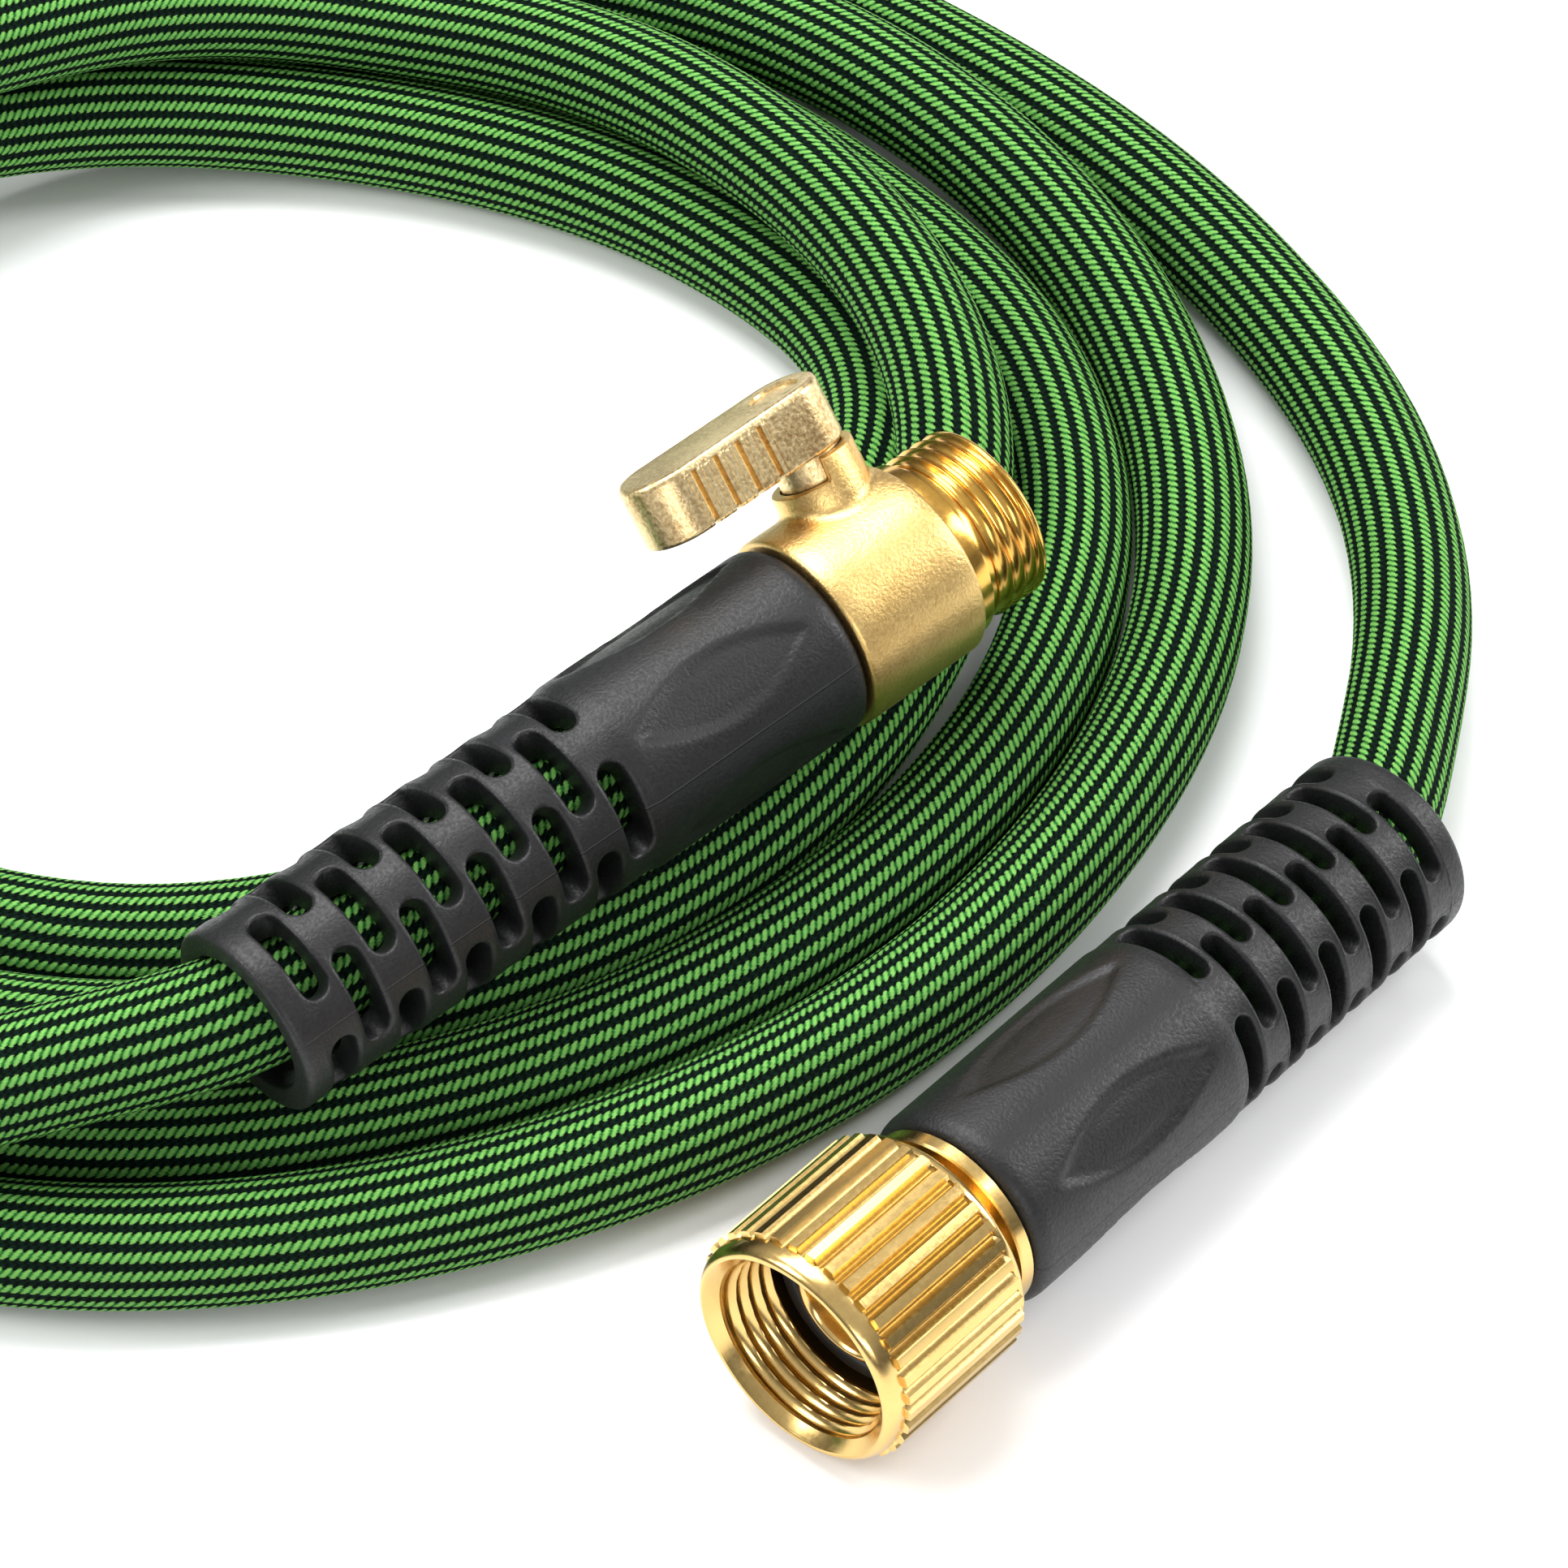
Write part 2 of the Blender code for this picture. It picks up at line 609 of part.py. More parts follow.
def build():
    clear_scene()
    materials = {
        "woven": finish("hose_cover", (0.06, 0.32, 0.07), 0.0, 0.8),
        "black": finish("grip_rubber", (0.02, 0.02, 0.022), 0.0, 0.5),
        "brass": finish("turned_brass", (0.83, 0.58, 0.20), 1.0, 0.3),
        "lever_brass": finish("cast_lever_brass", (0.78, 0.60, 0.34), 1.0, 0.35),
        "steel": finish("ball_steel", (0.6, 0.6, 0.6), 1.0, 0.2),
        "dark_steel": finish("stem_steel", (0.08, 0.08, 0.08), 1.0, 0.4),
        "washer": finish("washer_rubber", (0.01, 0.01, 0.01), 0.0, 0.6),
    }
    root = bpy.data.objects.new("coil_axes", None)
    bpy.context.collection.objects.link(root)
    root.rotation_euler = Euler((0, 0, coil_turned))

    hose = make_hose(materials["woven"])
    hose.parent = root

    valve_axis = axis_direction(valve_heading, valve_tilt)
    valve_end = valve_place - valve_axis * (valve_relief_length + valve_grip_length)
    valve_frame = fitting_frame("valve_frame", valve_end, valve_heading, valve_tilt, root)
    valve_grip = make_grip("valve_grip", valve_relief_length, valve_relief_diameter, valve_grip_length,
                           valve_grip_diameter, valve_slot_phase, materials["black"], valve_frame)
    valve_pieces = make_valve(materials, valve_frame)

    coupling_end = coupling_place + Vector((0, 0, coupling_relief_diameter / 2 * math.cos(coupling_tilt)))
    coupling_frame = fitting_frame("coupling_frame", coupling_end, coupling_heading, coupling_tilt, root)
    coupling_grip = make_grip("coupling_grip", coupling_relief_length, coupling_relief_diameter,
                              coupling_grip_length, coupling_grip_diameter, coupling_slot_phase,
                              materials["black"], coupling_frame)
    coupling_back = coupling_relief_length + coupling_grip_length
    insert = make_insert(coupling_back, materials["brass"], coupling_frame)
    nut = make_nut(coupling_back, materials["brass"], coupling_frame)
    washer = make_washer(coupling_back, materials["washer"], coupling_frame)

    centre_outline(root, [hose, valve_grip, *valve_pieces, coupling_grip, insert, nut, washer])


build()
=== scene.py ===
import math

import bmesh
import bpy
import numpy as np
from mathutils import Euler, Matrix, Vector


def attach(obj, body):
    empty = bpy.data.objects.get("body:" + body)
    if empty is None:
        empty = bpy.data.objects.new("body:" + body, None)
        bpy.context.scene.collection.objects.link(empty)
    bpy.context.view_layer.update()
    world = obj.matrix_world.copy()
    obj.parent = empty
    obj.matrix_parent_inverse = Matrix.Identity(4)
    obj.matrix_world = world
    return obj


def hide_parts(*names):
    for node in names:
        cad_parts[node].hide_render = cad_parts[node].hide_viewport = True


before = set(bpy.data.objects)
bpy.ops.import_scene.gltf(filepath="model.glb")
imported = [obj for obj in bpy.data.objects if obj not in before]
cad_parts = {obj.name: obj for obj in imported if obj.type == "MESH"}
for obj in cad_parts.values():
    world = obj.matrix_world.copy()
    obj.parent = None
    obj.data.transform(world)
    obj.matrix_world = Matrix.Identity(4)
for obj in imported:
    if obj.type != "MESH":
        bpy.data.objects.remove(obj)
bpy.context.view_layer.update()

mm = 0.001
mainBody = "hose_and_grips"

# Where the coil lies in the frame: its own axes are turned and shifted, as in the part
coilShift = (-16.188, 11.143, 0.0)
coilTurn = 41.5
coilAxes = Matrix.Translation(Vector(coilShift) * mm) @ Matrix.Rotation(math.radians(coilTurn), 4, "Z")


def linearColor(hexCode):
    channels = [int(hexCode[i:i + 2], 16) / 255 for i in (1, 3, 5)]
    return [c / 12.92 if c <= 0.04045 else ((c + 0.055) / 1.055) ** 2.4 for c in channels] + [1.0]


# Small tools that every piece uses
def connect(tree, node, links):
    for socket, source in links.items():
        if isinstance(source, bpy.types.NodeSocket):
            tree.links.new(source, node.inputs[socket])
        else:
            node.inputs[socket].default_value = source


def addNode(tree, kind, links=None, output=0, **settings):
    node = tree.nodes.new(kind)
    for key, value in settings.items():
        setattr(node, key, value)
    connect(tree, node, links or {})
    return node.outputs[output]


def newMaterial(name, metallic, roughness):
    material = bpy.data.materials.new(name)
    material.use_nodes = True
    shader = material.node_tree.nodes["Principled BSDF"]
    shader.inputs["Metallic"].default_value = metallic
    shader.inputs["Roughness"].default_value = roughness
    return material, material.node_tree, shader


def linkPiece(mesh, material, smoothAngle):
    mesh.shade_smooth()
    mesh.set_sharp_from_angle(angle=math.radians(smoothAngle))
    mesh.materials.append(material)
    piece = bpy.data.objects.new(mesh.name, mesh)
    bpy.context.scene.collection.objects.link(piece)
    return piece


def meshPiece(name, points, faces, material, place, body, replaced=(), uv=None, smoothAngle=40):
    mesh = bpy.data.meshes.new(name)
    mesh.from_pydata([tuple(p) for p in points], [], faces)
    if uv is not None:
        mesh.uv_layers.new(name="along").data.foreach_set("uv", np.asarray(uv, np.float32).ravel())
    piece = linkPiece(mesh, material, smoothAngle)
    piece.matrix_world = place
    bpy.context.view_layer.update()
    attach(piece, body)
    if replaced:
        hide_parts(*replaced)
    return piece


# The camera stands where the photograph was taken from, in the coil's axes, mm
cameraSetup = {
    "seenFrom": (78.0, -667.9, 678.7),
    "lookingAt": (78.0, -46.0, 0.0),
    "lens": 148.55,
}


def makeCamera(setup):
    camera = bpy.data.objects.new("camera", bpy.data.cameras.new("camera"))
    bpy.context.scene.collection.objects.link(camera)
    seenFrom = coilAxes @ (Vector(setup["seenFrom"]) * mm)
    lookingAt = coilAxes @ (Vector(setup["lookingAt"]) * mm)
    camera.location = seenFrom
    camera.rotation_euler = (lookingAt - seenFrom).to_track_quat("-Z", "Y").to_euler()
    camera.data.lens = setup["lens"]
    camera.data.sensor_width = 36
    camera.data.clip_start = 0.01
    bpy.context.scene.camera = camera


makeCamera(cameraSetup)
print("camera placed")

# Soft panels, each: name, place in the coil's axes in mm, aimed at, size in mm, power in W
studio = {
    "floor": "#FBFBFC",
    "floorHalf": 6.0,  # metres
    "dome": (0.12, 0.68),  # brightness at its foot and overhead
    "domeRise": (0.05, 0.75),  # where it starts and stops brightening
    "panels": [
        ("overhead", (-150, 350, 1100), (40, 0, 0), (900, 700), 15.5),
        ("keyLeft", (-800, -250, 700), (60, -40, 20), (420, 500), 6.0),
        ("rimRight", (850, 150, 520), (80, -40, 20), (260, 600), 5.5),
        ("frontLow", (250, -1000, 420), (80, -60, 20), (700, 160), 2.6),
    ],
}


# A dome that darkens towards its foot gives the metal something to mirror
def makeDome(setup):
    world = bpy.data.worlds.new("paleStudio")
    bpy.context.scene.world = world
    world.use_nodes = True
    tree = world.node_tree
    direction = addNode(tree, "ShaderNodeTexCoord", output="Generated")
    up = addNode(tree, "ShaderNodeSeparateXYZ", {0: direction}, output=2)
    begin, full = setup["domeRise"]
    foot, top = setup["dome"]
    glow = addNode(tree, "ShaderNodeMapRange", {"Value": up, 1: begin, 2: full, 3: foot, 4: top},
                   interpolation_type="SMOOTHSTEP")
    connect(tree, tree.nodes["Background"], {"Strength": glow, "Color": (1, 1, 1, 1)})


def makePanels(setup):
    for name, place, aim, size, power in setup["panels"]:
        lamp = bpy.data.lights.new(name, "AREA")
        lamp.shape = "RECTANGLE"
        lamp.size, lamp.size_y = size[0] * mm, size[1] * mm
        lamp.energy = power
        panel = bpy.data.objects.new(name, lamp)
        bpy.context.scene.collection.objects.link(panel)
        panel.location = coilAxes @ (Vector(place) * mm)
        facing = (coilAxes @ (Vector(aim) * mm)) - panel.location
        panel.rotation_euler = facing.to_track_quat("-Z", "Y").to_euler()


def makeFloor(setup):
    mesh = bpy.data.meshes.new("floor")
    half = setup["floorHalf"]
    corners = [(-half, -half, 0), (half, -half, 0), (half, half, 0), (-half, half, 0)]
    mesh.from_pydata(corners, [], [(0, 1, 2, 3)])
    floor = bpy.data.objects.new("floor", mesh)
    bpy.context.scene.collection.objects.link(floor)
    paper, _, shader = newMaterial("mattPaper", 0.0, 0.7)
    shader.inputs["Base Color"].default_value = linearColor(setup["floor"])
    mesh.materials.append(paper)


makeDome(studio)
makePanels(studio)
makeFloor(studio)
bpy.context.scene.view_settings.view_transform = "Standard"
bpy.context.scene.view_settings.look = "None"
print("studio built")

# The hose: degrees travelled round the coil and the lane there, in hose widths, as in the part
hose = {
    "diameter": 17.0,
    "lanePitch": 17.3,
    "restingPitch": 17.05,
    "halfLength": 101.0,
    "halfWidth": 85.0,
    "start": -13.0,
    "end": 1691.0,
    "degreeStep": 2.5,
    "riseLength": 74.0,
    "inGrip": 63.0,
    "flare": 30.0,
    "sideways": 1.2,
    "gripStep": 4.5,
    "ringStep": 5.0,
    "settlings": 14,
    "smoothings": 4,
    "heldRings": 9,  # at each end, not smoothed
    "stripes": 20,
    "stripeRelief": 0.38,
    "lanes": [
        (-16, 4.14), (0, 3.86), (20, 3.27), (45, 2.93), (70, 3.14), (90, 3.28), (115, 3.10), (140, 3.04),
        (180, 3.02), (225, 3.02), (265, 3.02), (290, 2.72), (310, 2.46), (330, 2.24), (355, 2.15),
        (380, 2.08), (405, 2.02), (416, 2.06), (430, 2.14), (450, 2.26), (475, 2.07), (500, 2.03),
        (540, 2.01), (585, 2.01), (625, 2.01), (645, 1.72), (660, 1.50), (672, 1.34), (690, 1.20),
        (720, 1.14), (740, 1.07), (750, 1.00), (758, 0.95), (770, 1.02), (785, 1.12), (810, 1.22),
        (821, 1.17), (834, 1.02), (847, 0.80), (860, 0.54), (875, 0.26), (900, -0.03), (925, -0.10),
        (950, -0.06), (985, -0.03), (1005, -0.31), (1020, -0.53), (1032, -0.69), (1050, -0.84),
        (1060, -0.86), (1070, -0.78), (1080, -0.58), (1091, -0.33), (1102, -0.17), (1125, -0.17),
        (1150, -0.12), (1170, 0.0), (1185, 0.06), (1195, 0.02), (1207, -0.06), (1220, -0.06), (1235, 0.12),
        (1250, 0.45), (1265, 0.76), (1280, 0.95), (1305, 1.00), (1345, 0.98), (1365, 0.70), (1380, 0.48),
        (1392, 0.32), (1410, 0.18), (1420, 0.15), (1440, 0.12), (1460, 0.06), (1474, 0.10), (1484, 0.18),
        (1494, 0.33), (1504, 0.50), (1520, 0.56), (1535, 0.45), (1545, 0.22), (1555, -0.06), (1565, -0.22),
        (1577, -0.12), (1590, 0.30), (1600, 0.82), (1612, 1.65), (1625, 2.65), (1640, 3.65), (1655, 4.25),
        (1668, 4.20), (1680, 3.75), (1690, 3.08), (1697, 2.62), (1703, 2.30),
    ],
}

# Where each fitting starts, in the coil's axes: its hose end, heading and upward tilt
fittings = {
    "valveFront": (80.4, -54.1, 38.6),
    "valveHeading": 41.7,
    "valveTilt": 3.0,
    "valveLength": 98.0,
    "stemFromEnd": 111.2,
    "stemLean": 38.0,
    "couplingEnd": (160.8, -70.1),
    "couplingHeading": 228.5,
    "couplingTilt": 1.904,
    "couplingRadius": 14.4,
}


def fittingAxes(place, heading, tilt):
    turn = Euler((0, -math.radians(tilt), math.radians(heading))).to_matrix().to_4x4()
    return Matrix.Translation(Vector(place) * mm) @ turn


valveTurn = fittingAxes((0, 0, 0), fittings["valveHeading"], fittings["valveTilt"])
valveEnd = Vector(fittings["valveFront"]) - valveTurn.col[0].to_3d() * fittings["valveLength"]
valveInCoil = fittingAxes(valveEnd, fittings["valveHeading"], fittings["valveTilt"])
couplingRise = fittings["couplingRadius"] * math.cos(math.radians(fittings["couplingTilt"]))
couplingInCoil = fittingAxes((*fittings["couplingEnd"], couplingRise), fittings["couplingHeading"],
                             fittings["couplingTilt"])
valveAxes = coilAxes @ valveInCoil
couplingAxes = coilAxes @ couplingInCoil
stemAxes = (valveAxes @ Matrix.Translation((fittings["stemFromEnd"] * mm, 0, 0))
            @ Matrix.Rotation(-math.radians(fittings["stemLean"]), 4, "X"))


def throughKeys(keys, wanted):
    at, value = np.array(keys, float).T
    slope = np.gradient(value, at)
    first = np.clip(np.searchsorted(at, wanted, side="right") - 1, 0, len(at) - 2)
    span = at[first + 1] - at[first]
    part = (wanted - at[first]) / span
    left = value[first] * (1 + 2 * part) * (1 - part) ** 2 + slope[first] * span * part * (1 - part) ** 2
    right = value[first + 1] * part ** 2 * (3 - 2 * part) + slope[first + 1] * span * part ** 2 * (part - 1)
    return left + right


def travelled(points):
    return np.concatenate([[0.0], np.cumsum(np.linalg.norm(np.diff(points, axis=0), axis=1))])


# Heights in the order the hose was laid: as low as the floor and the turns under it allow, in
# long humps. Two places cross only when they are more than three widths apart along the hose.
def restingHeights(plan, endHeights):
    radius = hose["diameter"] / 2
    along = travelled(plan)
    apart = np.linalg.norm(plan[:, None] - plan[None], axis=2)
    crossing = (along[:, None] - along[None] > 3 * hose["diameter"]) & (apart < hose["restingPitch"])
    lift = np.sqrt(np.maximum(hose["restingPitch"] ** 2 - apart ** 2, 0.0))
    distance = np.abs(along[:, None] - along[None])
    rise = hose["riseLength"]
    spread = np.where(distance < rise, 0.5 * (1 + np.cos(np.pi * distance / rise)), 0.0)
    ends = np.maximum(endHeights - radius, 0.0)
    lifted = ends
    for _ in range(hose["settlings"]):
        height = radius + (spread * lifted[None]).max(axis=1)
        need = np.where(crossing, height[None] + lift, radius).max(axis=1)
        lifted = np.maximum(ends, need - radius)
    return radius + (spread * lifted[None]).max(axis=1)


# The straight run inside a grip: it bends a little sideways in the relief's flared mouth
def runInGrip(axes, sideways):
    origin = np.array(axes.translation) / mm
    ahead = np.array(axes.col[0].to_3d())
    points = []
    for depth in np.arange(hose["inGrip"], -0.1, -hose["gripStep"]):
        bend = max(1 - depth / hose["flare"], 0.0) ** 2 * hose["sideways"]
        points.append(origin + ahead * depth + sideways * bend)
    return np.array(points)


def sideOf(heading, sign, drop):
    turn = math.radians(heading)
    side = Vector((sign * math.sin(turn), -sign * math.cos(turn), drop))
    return np.array(side.normalized())


def hosePath():
    start = runInGrip(couplingInCoil, sideOf(fittings["couplingHeading"], 1, -0.3))
    finish = runInGrip(valveInCoil, sideOf(fittings["valveHeading"], -1, -0.2))[::-1]
    degrees = np.arange(hose["start"], hose["end"] + 0.1, hose["degreeStep"])
    angle = np.radians(degrees)
    oval = np.stack([hose["halfLength"] * np.cos(angle), hose["halfWidth"] * np.sin(angle)], 1)
    normal = np.stack([np.cos(angle) / hose["halfLength"], np.sin(angle) / hose["halfWidth"]], 1)
    normal /= np.linalg.norm(normal, axis=1)[:, None]
    plan = oval + normal * (throughKeys(hose["lanes"], degrees) * hose["lanePitch"])[:, None]
    plan = np.concatenate([start[-1:, :2], plan, finish[:1, :2]])
    given = np.zeros(len(plan))
    given[0] = start[-1, 2]
    given[-1] = finish[0, 2]
    laid = np.column_stack([plan, restingHeights(plan, given)])[1:-1]
    path = np.concatenate([start, laid, finish])
    along = travelled(path)
    count = round(along[-1] / hose["ringStep"])
    even = np.linspace(0, along[-1], count + 1)
    path = np.column_stack([np.interp(even, along, path[:, axis]) for axis in range(3)])
    held = hose["heldRings"]
    for _ in range(hose["smoothings"]):
        before, after = path[held - 1:-held - 1], path[held + 1:1 - held]
        path[held:-held] = path[held:-held] * 0.5 + (before + after) * 0.25
    return path


# Rings round the path, turned as little as they can be, so that the stripes run along the hose
# without twist. Each stripe has four points: a valley, a shoulder, its top and a shoulder.
def tubeRings(path, stripes, relief):
    forward = np.gradient(path, axis=0)
    forward /= np.linalg.norm(forward, axis=1)[:, None]
    side = np.cross(forward[0], (0, 0, 1.0))
    side /= np.linalg.norm(side)
    turn = np.arange(stripes * 4) * 2 * np.pi / (stripes * 4)
    low, high = hose["diameter"] / 2 - relief, hose["diameter"] / 2
    shoulder = high - relief * 0.2
    radius = np.array([low, shoulder, high, shoulder] * stripes)
    rings = []
    for centre, ahead in zip(path, forward):
        side = side - ahead * side.dot(ahead)
        side /= np.linalg.norm(side)
        over = np.cross(ahead, side)
        spokes = side * np.cos(turn)[:, None] + over * np.sin(turn)[:, None]
        rings.append(centre + spokes * radius[:, None])
    return np.array(rings)


# Polyester yarn knitted over a latex tube. Light ribs and dark ones 2.7 mm apart give the stripes, and the
# slanted stitches, one each 1.25 mm along, give their saw-toothed edges.
knitted = {
    "stitch": 1.25,
    "slant": 1.5,
    "ribHalf": 0.15,  # half a light rib between stitches, as a share of a stripe
    "stitchWidens": 0.145,  # what a stitch adds to that
    "ribBlur": 0.045,
    "fibre": 0.22,  # thousandths of the coil's box: finer than a pixel in the photo's view
    "relief": 0.45,
    "bright": "#84C664",
    # mid green between stitches on the light ribs: painted shade in the gaps
    "gapShadeGreen": "#20702B",
    "dark": "#020A05",
    "darkThread": "#082216",
}


def knittedJacket():
    material, tree, shader = newMaterial("knittedPolyesterJacket", 0.0, 0.78)
    uv = addNode(tree, "ShaderNodeUVMap", uv_map="along")
    place = addNode(tree, "ShaderNodeSeparateXYZ", {0: uv}).node
    around = addNode(tree, "ShaderNodeMath", {0: place.outputs[0], 1: float(hose["stripes"])},
                     operation="MULTIPLY")
    inStripe = addNode(tree, "ShaderNodeMath", {0: around}, operation="FRACT")
    across = addNode(tree, "ShaderNodeMath", {0: inStripe, 1: 0.5}, operation="SUBTRACT")
    along = addNode(tree, "ShaderNodeMath", {0: place.outputs[1], 1: 1 / (knitted["stitch"] * mm)},
                    operation="MULTIPLY")
    # stitches: slanted across each rib, and a little uneven along the hose
    wobble = addNode(tree, "ShaderNodeTexNoise", {"Vector": uv, "Scale": 260.0, "Detail": 1.0})
    uneven = addNode(tree, "ShaderNodeMath", {0: wobble, 1: 0.5, 2: along}, operation="MULTIPLY_ADD")
    slanted = addNode(tree, "ShaderNodeMath", {0: across, 1: knitted["slant"], 2: uneven},
                      operation="MULTIPLY_ADD")
    phase = addNode(tree, "ShaderNodeMath", {0: slanted}, operation="FRACT")
    swing = addNode(tree, "ShaderNodeMath", {0: phase, 1: 2.0, 2: -1.0}, operation="MULTIPLY_ADD")
    away = addNode(tree, "ShaderNodeMath", {0: swing}, operation="ABSOLUTE")
    yarn = addNode(tree, "ShaderNodeMapRange", {"Value": away, 1: 0.95, 2: 0.25, 3: 0.0, 4: 1.0},
                   interpolation_type="SMOOTHSTEP")
    # light ribs: wider where a stitch crosses them than between stitches
    offCentre = addNode(tree, "ShaderNodeMath", {0: across}, operation="ABSOLUTE")
    edge = addNode(tree, "ShaderNodeMath", {0: yarn, 1: knitted["stitchWidens"], 2: knitted["ribHalf"]},
                   operation="MULTIPLY_ADD")
    past = addNode(tree, "ShaderNodeMath", {0: edge, 1: offCentre}, operation="SUBTRACT")
    light = addNode(tree, "ShaderNodeMapRange", {"Value": past, 1: -knitted["ribBlur"],
                                                 2: knitted["ribBlur"], 3: 0.0, 4: 1.0},
                    interpolation_type="SMOOTHSTEP")
    # light ribs: the yarn's bright colour on each stitch, with painted shade of mid green in the gaps between
    # stitches
    lightYarnGapShaded = addNode(tree, "ShaderNodeMix", {0: yarn, 6: linearColor(knitted["gapShadeGreen"]),
                                                7: linearColor(knitted["bright"])},
                        output=2, data_type="RGBA")
    darkYarn = addNode(tree, "ShaderNodeMix", {0: yarn, 6: linearColor(knitted["dark"]),
                                               7: linearColor(knitted["darkThread"])},
                       output=2, data_type="RGBA")
    striped = addNode(tree, "ShaderNodeMix", {0: light, 6: darkYarn, 7: lightYarnGapShaded},
                      output=2, data_type="RGBA")
    fibre = addNode(tree, "ShaderNodeTexNoise", {"Scale": 1 / (knitted["fibre"] * mm), "Detail": 2.0})
    shade = addNode(tree, "ShaderNodeMapRange", {"Value": fibre, 1: 0.3, 2: 0.7, 3: 0.66, 4: 1.14})
    shaded = addNode(tree, "ShaderNodeMix", {0: 1.0, 6: striped, 7: shade},
                     output=2, data_type="RGBA", blend_type="MULTIPLY")
    height = addNode(tree, "ShaderNodeMath", {0: yarn, 1: 0.55, 2: light}, operation="MULTIPLY_ADD")
    raised = addNode(tree, "ShaderNodeMath", {0: fibre, 1: 0.3, 2: height}, operation="MULTIPLY_ADD")
    bump = addNode(tree, "ShaderNodeBump", {"Height": raised, "Strength": 0.9,
                                            "Distance": knitted["relief"] * mm})
    connect(tree, shader, {"Base Color": shaded, "Normal": bump, "Specular IOR Level": 0.08})
    return material


def inFrame(points):
    return (np.array(coilAxes.to_3x3()) @ (points * mm).T).T + np.array(coilAxes.translation)


def makeHose():
    path = hosePath()
    rings = tubeRings(path, hose["stripes"], hose["stripeRelief"])
    count, sides = rings.shape[:2]
    faces, uv = [], []
    along = travelled(path) * mm
    for ring in range(count - 1):
        low, high = ring * sides, (ring + 1) * sides
        for step in range(sides):
            after = (step + 1) % sides
            faces.append((low + step, high + step, high + after, low + after))
            left, right = step / sides, (step + 1) / sides
            here, there = along[ring], along[ring + 1]
            uv += [(left, here), (left, there), (right, there), (right, here)]
    faces.append(tuple(range(sides)))
    faces.append(tuple(range(high + sides - 1, high - 1, -1)))
    uv += [(0.0, 0.0)] * (2 * sides)
    piece = meshPiece("knitted_hose", inFrame(rings.reshape(-1, 3)), faces, knittedJacket(), Matrix(),
                      mainBody, ["hose"], uv, 70)
    print("hose laid,", round(along[-1], 3), "m long in", count, "rings")
    return piece, inFrame(path), float(along[-1])


hosePiece, hoseCentres, hoseLength = makeHose()


# Meshes that are turned: a closed section of (x, radius) points spun round X, where shape may
# move any of them
def lathe(profile, angles, shape=None):
    points, faces = [], []
    for number, (x, radius) in enumerate(profile):
        for angle in angles:
            px, pr = shape(number, x, radius, angle) if shape else (x, radius)
            points.append((px * mm, pr * math.cos(angle) * mm, pr * math.sin(angle) * mm))
    sides = len(angles)
    for number in range(len(profile)):
        low, high = number * sides, (number + 1) % len(profile) * sides
        for step in range(sides):
            after = (step + 1) % sides
            faces.append((low + step, high + step, high + after, low + after))
    return points, faces


# Faces between two loops of as many points
def quadsBetween(low, high):
    return list(zip(low, low[1:] + low[:1], high[1:] + high[:1], high))


def evenAngles(count):
    return [2 * math.pi * step / count for step in range(count)]


def faceOutwards(piece):
    build = bmesh.new()
    build.from_mesh(piece.data)
    bmesh.ops.recalc_face_normals(build, faces=build.faces)
    build.to_mesh(piece.data)
    build.free()
    return piece


# Thermoplastic rubber, injection moulded against a spark-eroded tool: a fine even grain that
# scatters the highlights into a grey sheen, and a thin flash line where the mould's halves met.
rubber = {
    "dark": "#111113",
    "light": "#19191B",
    "roughness": (0.36, 0.56),
    "grain": 0.5,  # nearer 0.2 mm on the real one, coarser here so that it shows
    "cloud": 14.0,
    "relief": 0.13,
}


def mouldedRubber(name, flashAngle):
    material, tree, shader = newMaterial(name, 0.0, 0.46)
    place = addNode(tree, "ShaderNodeTexCoord", output="Object")
    split = addNode(tree, "ShaderNodeSeparateXYZ", {0: place}).node
    angle = addNode(tree, "ShaderNodeMath", {0: split.outputs[2], 1: split.outputs[1]},
                    operation="ARCTAN2")
    turned = addNode(tree, "ShaderNodeMath", {0: angle, 1: math.radians(flashAngle)},
                     operation="SUBTRACT")
    sine = addNode(tree, "ShaderNodeMath", {0: turned}, operation="SINE")
    off = addNode(tree, "ShaderNodeMath", {0: sine}, operation="ABSOLUTE")
    flash = addNode(tree, "ShaderNodeMapRange", {"Value": off, 1: 0.005, 2: 0.012, 3: 1.0, 4: 0.0})
    grain = addNode(tree, "ShaderNodeTexNoise", {"Vector": place, "Detail": 2.0,
                                                 "Scale": 1 / (rubber["grain"] * mm)})
    cloud = addNode(tree, "ShaderNodeTexNoise", {"Vector": place, "Detail": 2.0,
                                                 "Scale": 1 / (rubber["cloud"] * mm)})
    tone = addNode(tree, "ShaderNodeMapRange", {"Value": cloud, 1: 0.3, 2: 0.7, 3: 0.0, 4: 1.0})
    mottled = addNode(tree, "ShaderNodeMix", {0: tone, 6: linearColor(rubber["dark"]),
                                              7: linearColor(rubber["light"])},
                      output=2, data_type="RGBA")
    smoothest, roughest = rubber["roughness"]
    rough = addNode(tree, "ShaderNodeMapRange", {"Value": grain, 1: 0.3, 2: 0.7,
                                                 3: smoothest, 4: roughest})
    height = addNode(tree, "ShaderNodeMath", {0: flash, 1: 3.0, 2: grain}, operation="MULTIPLY_ADD")
    bump = addNode(tree, "ShaderNodeBump", {"Height": height, "Strength": 0.6,
                                            "Distance": rubber["relief"] * mm})
    connect(tree, shader, {"Base Color": mottled, "Roughness": rough, "Normal": bump,
                           "Specular IOR Level": 0.4})
    return material


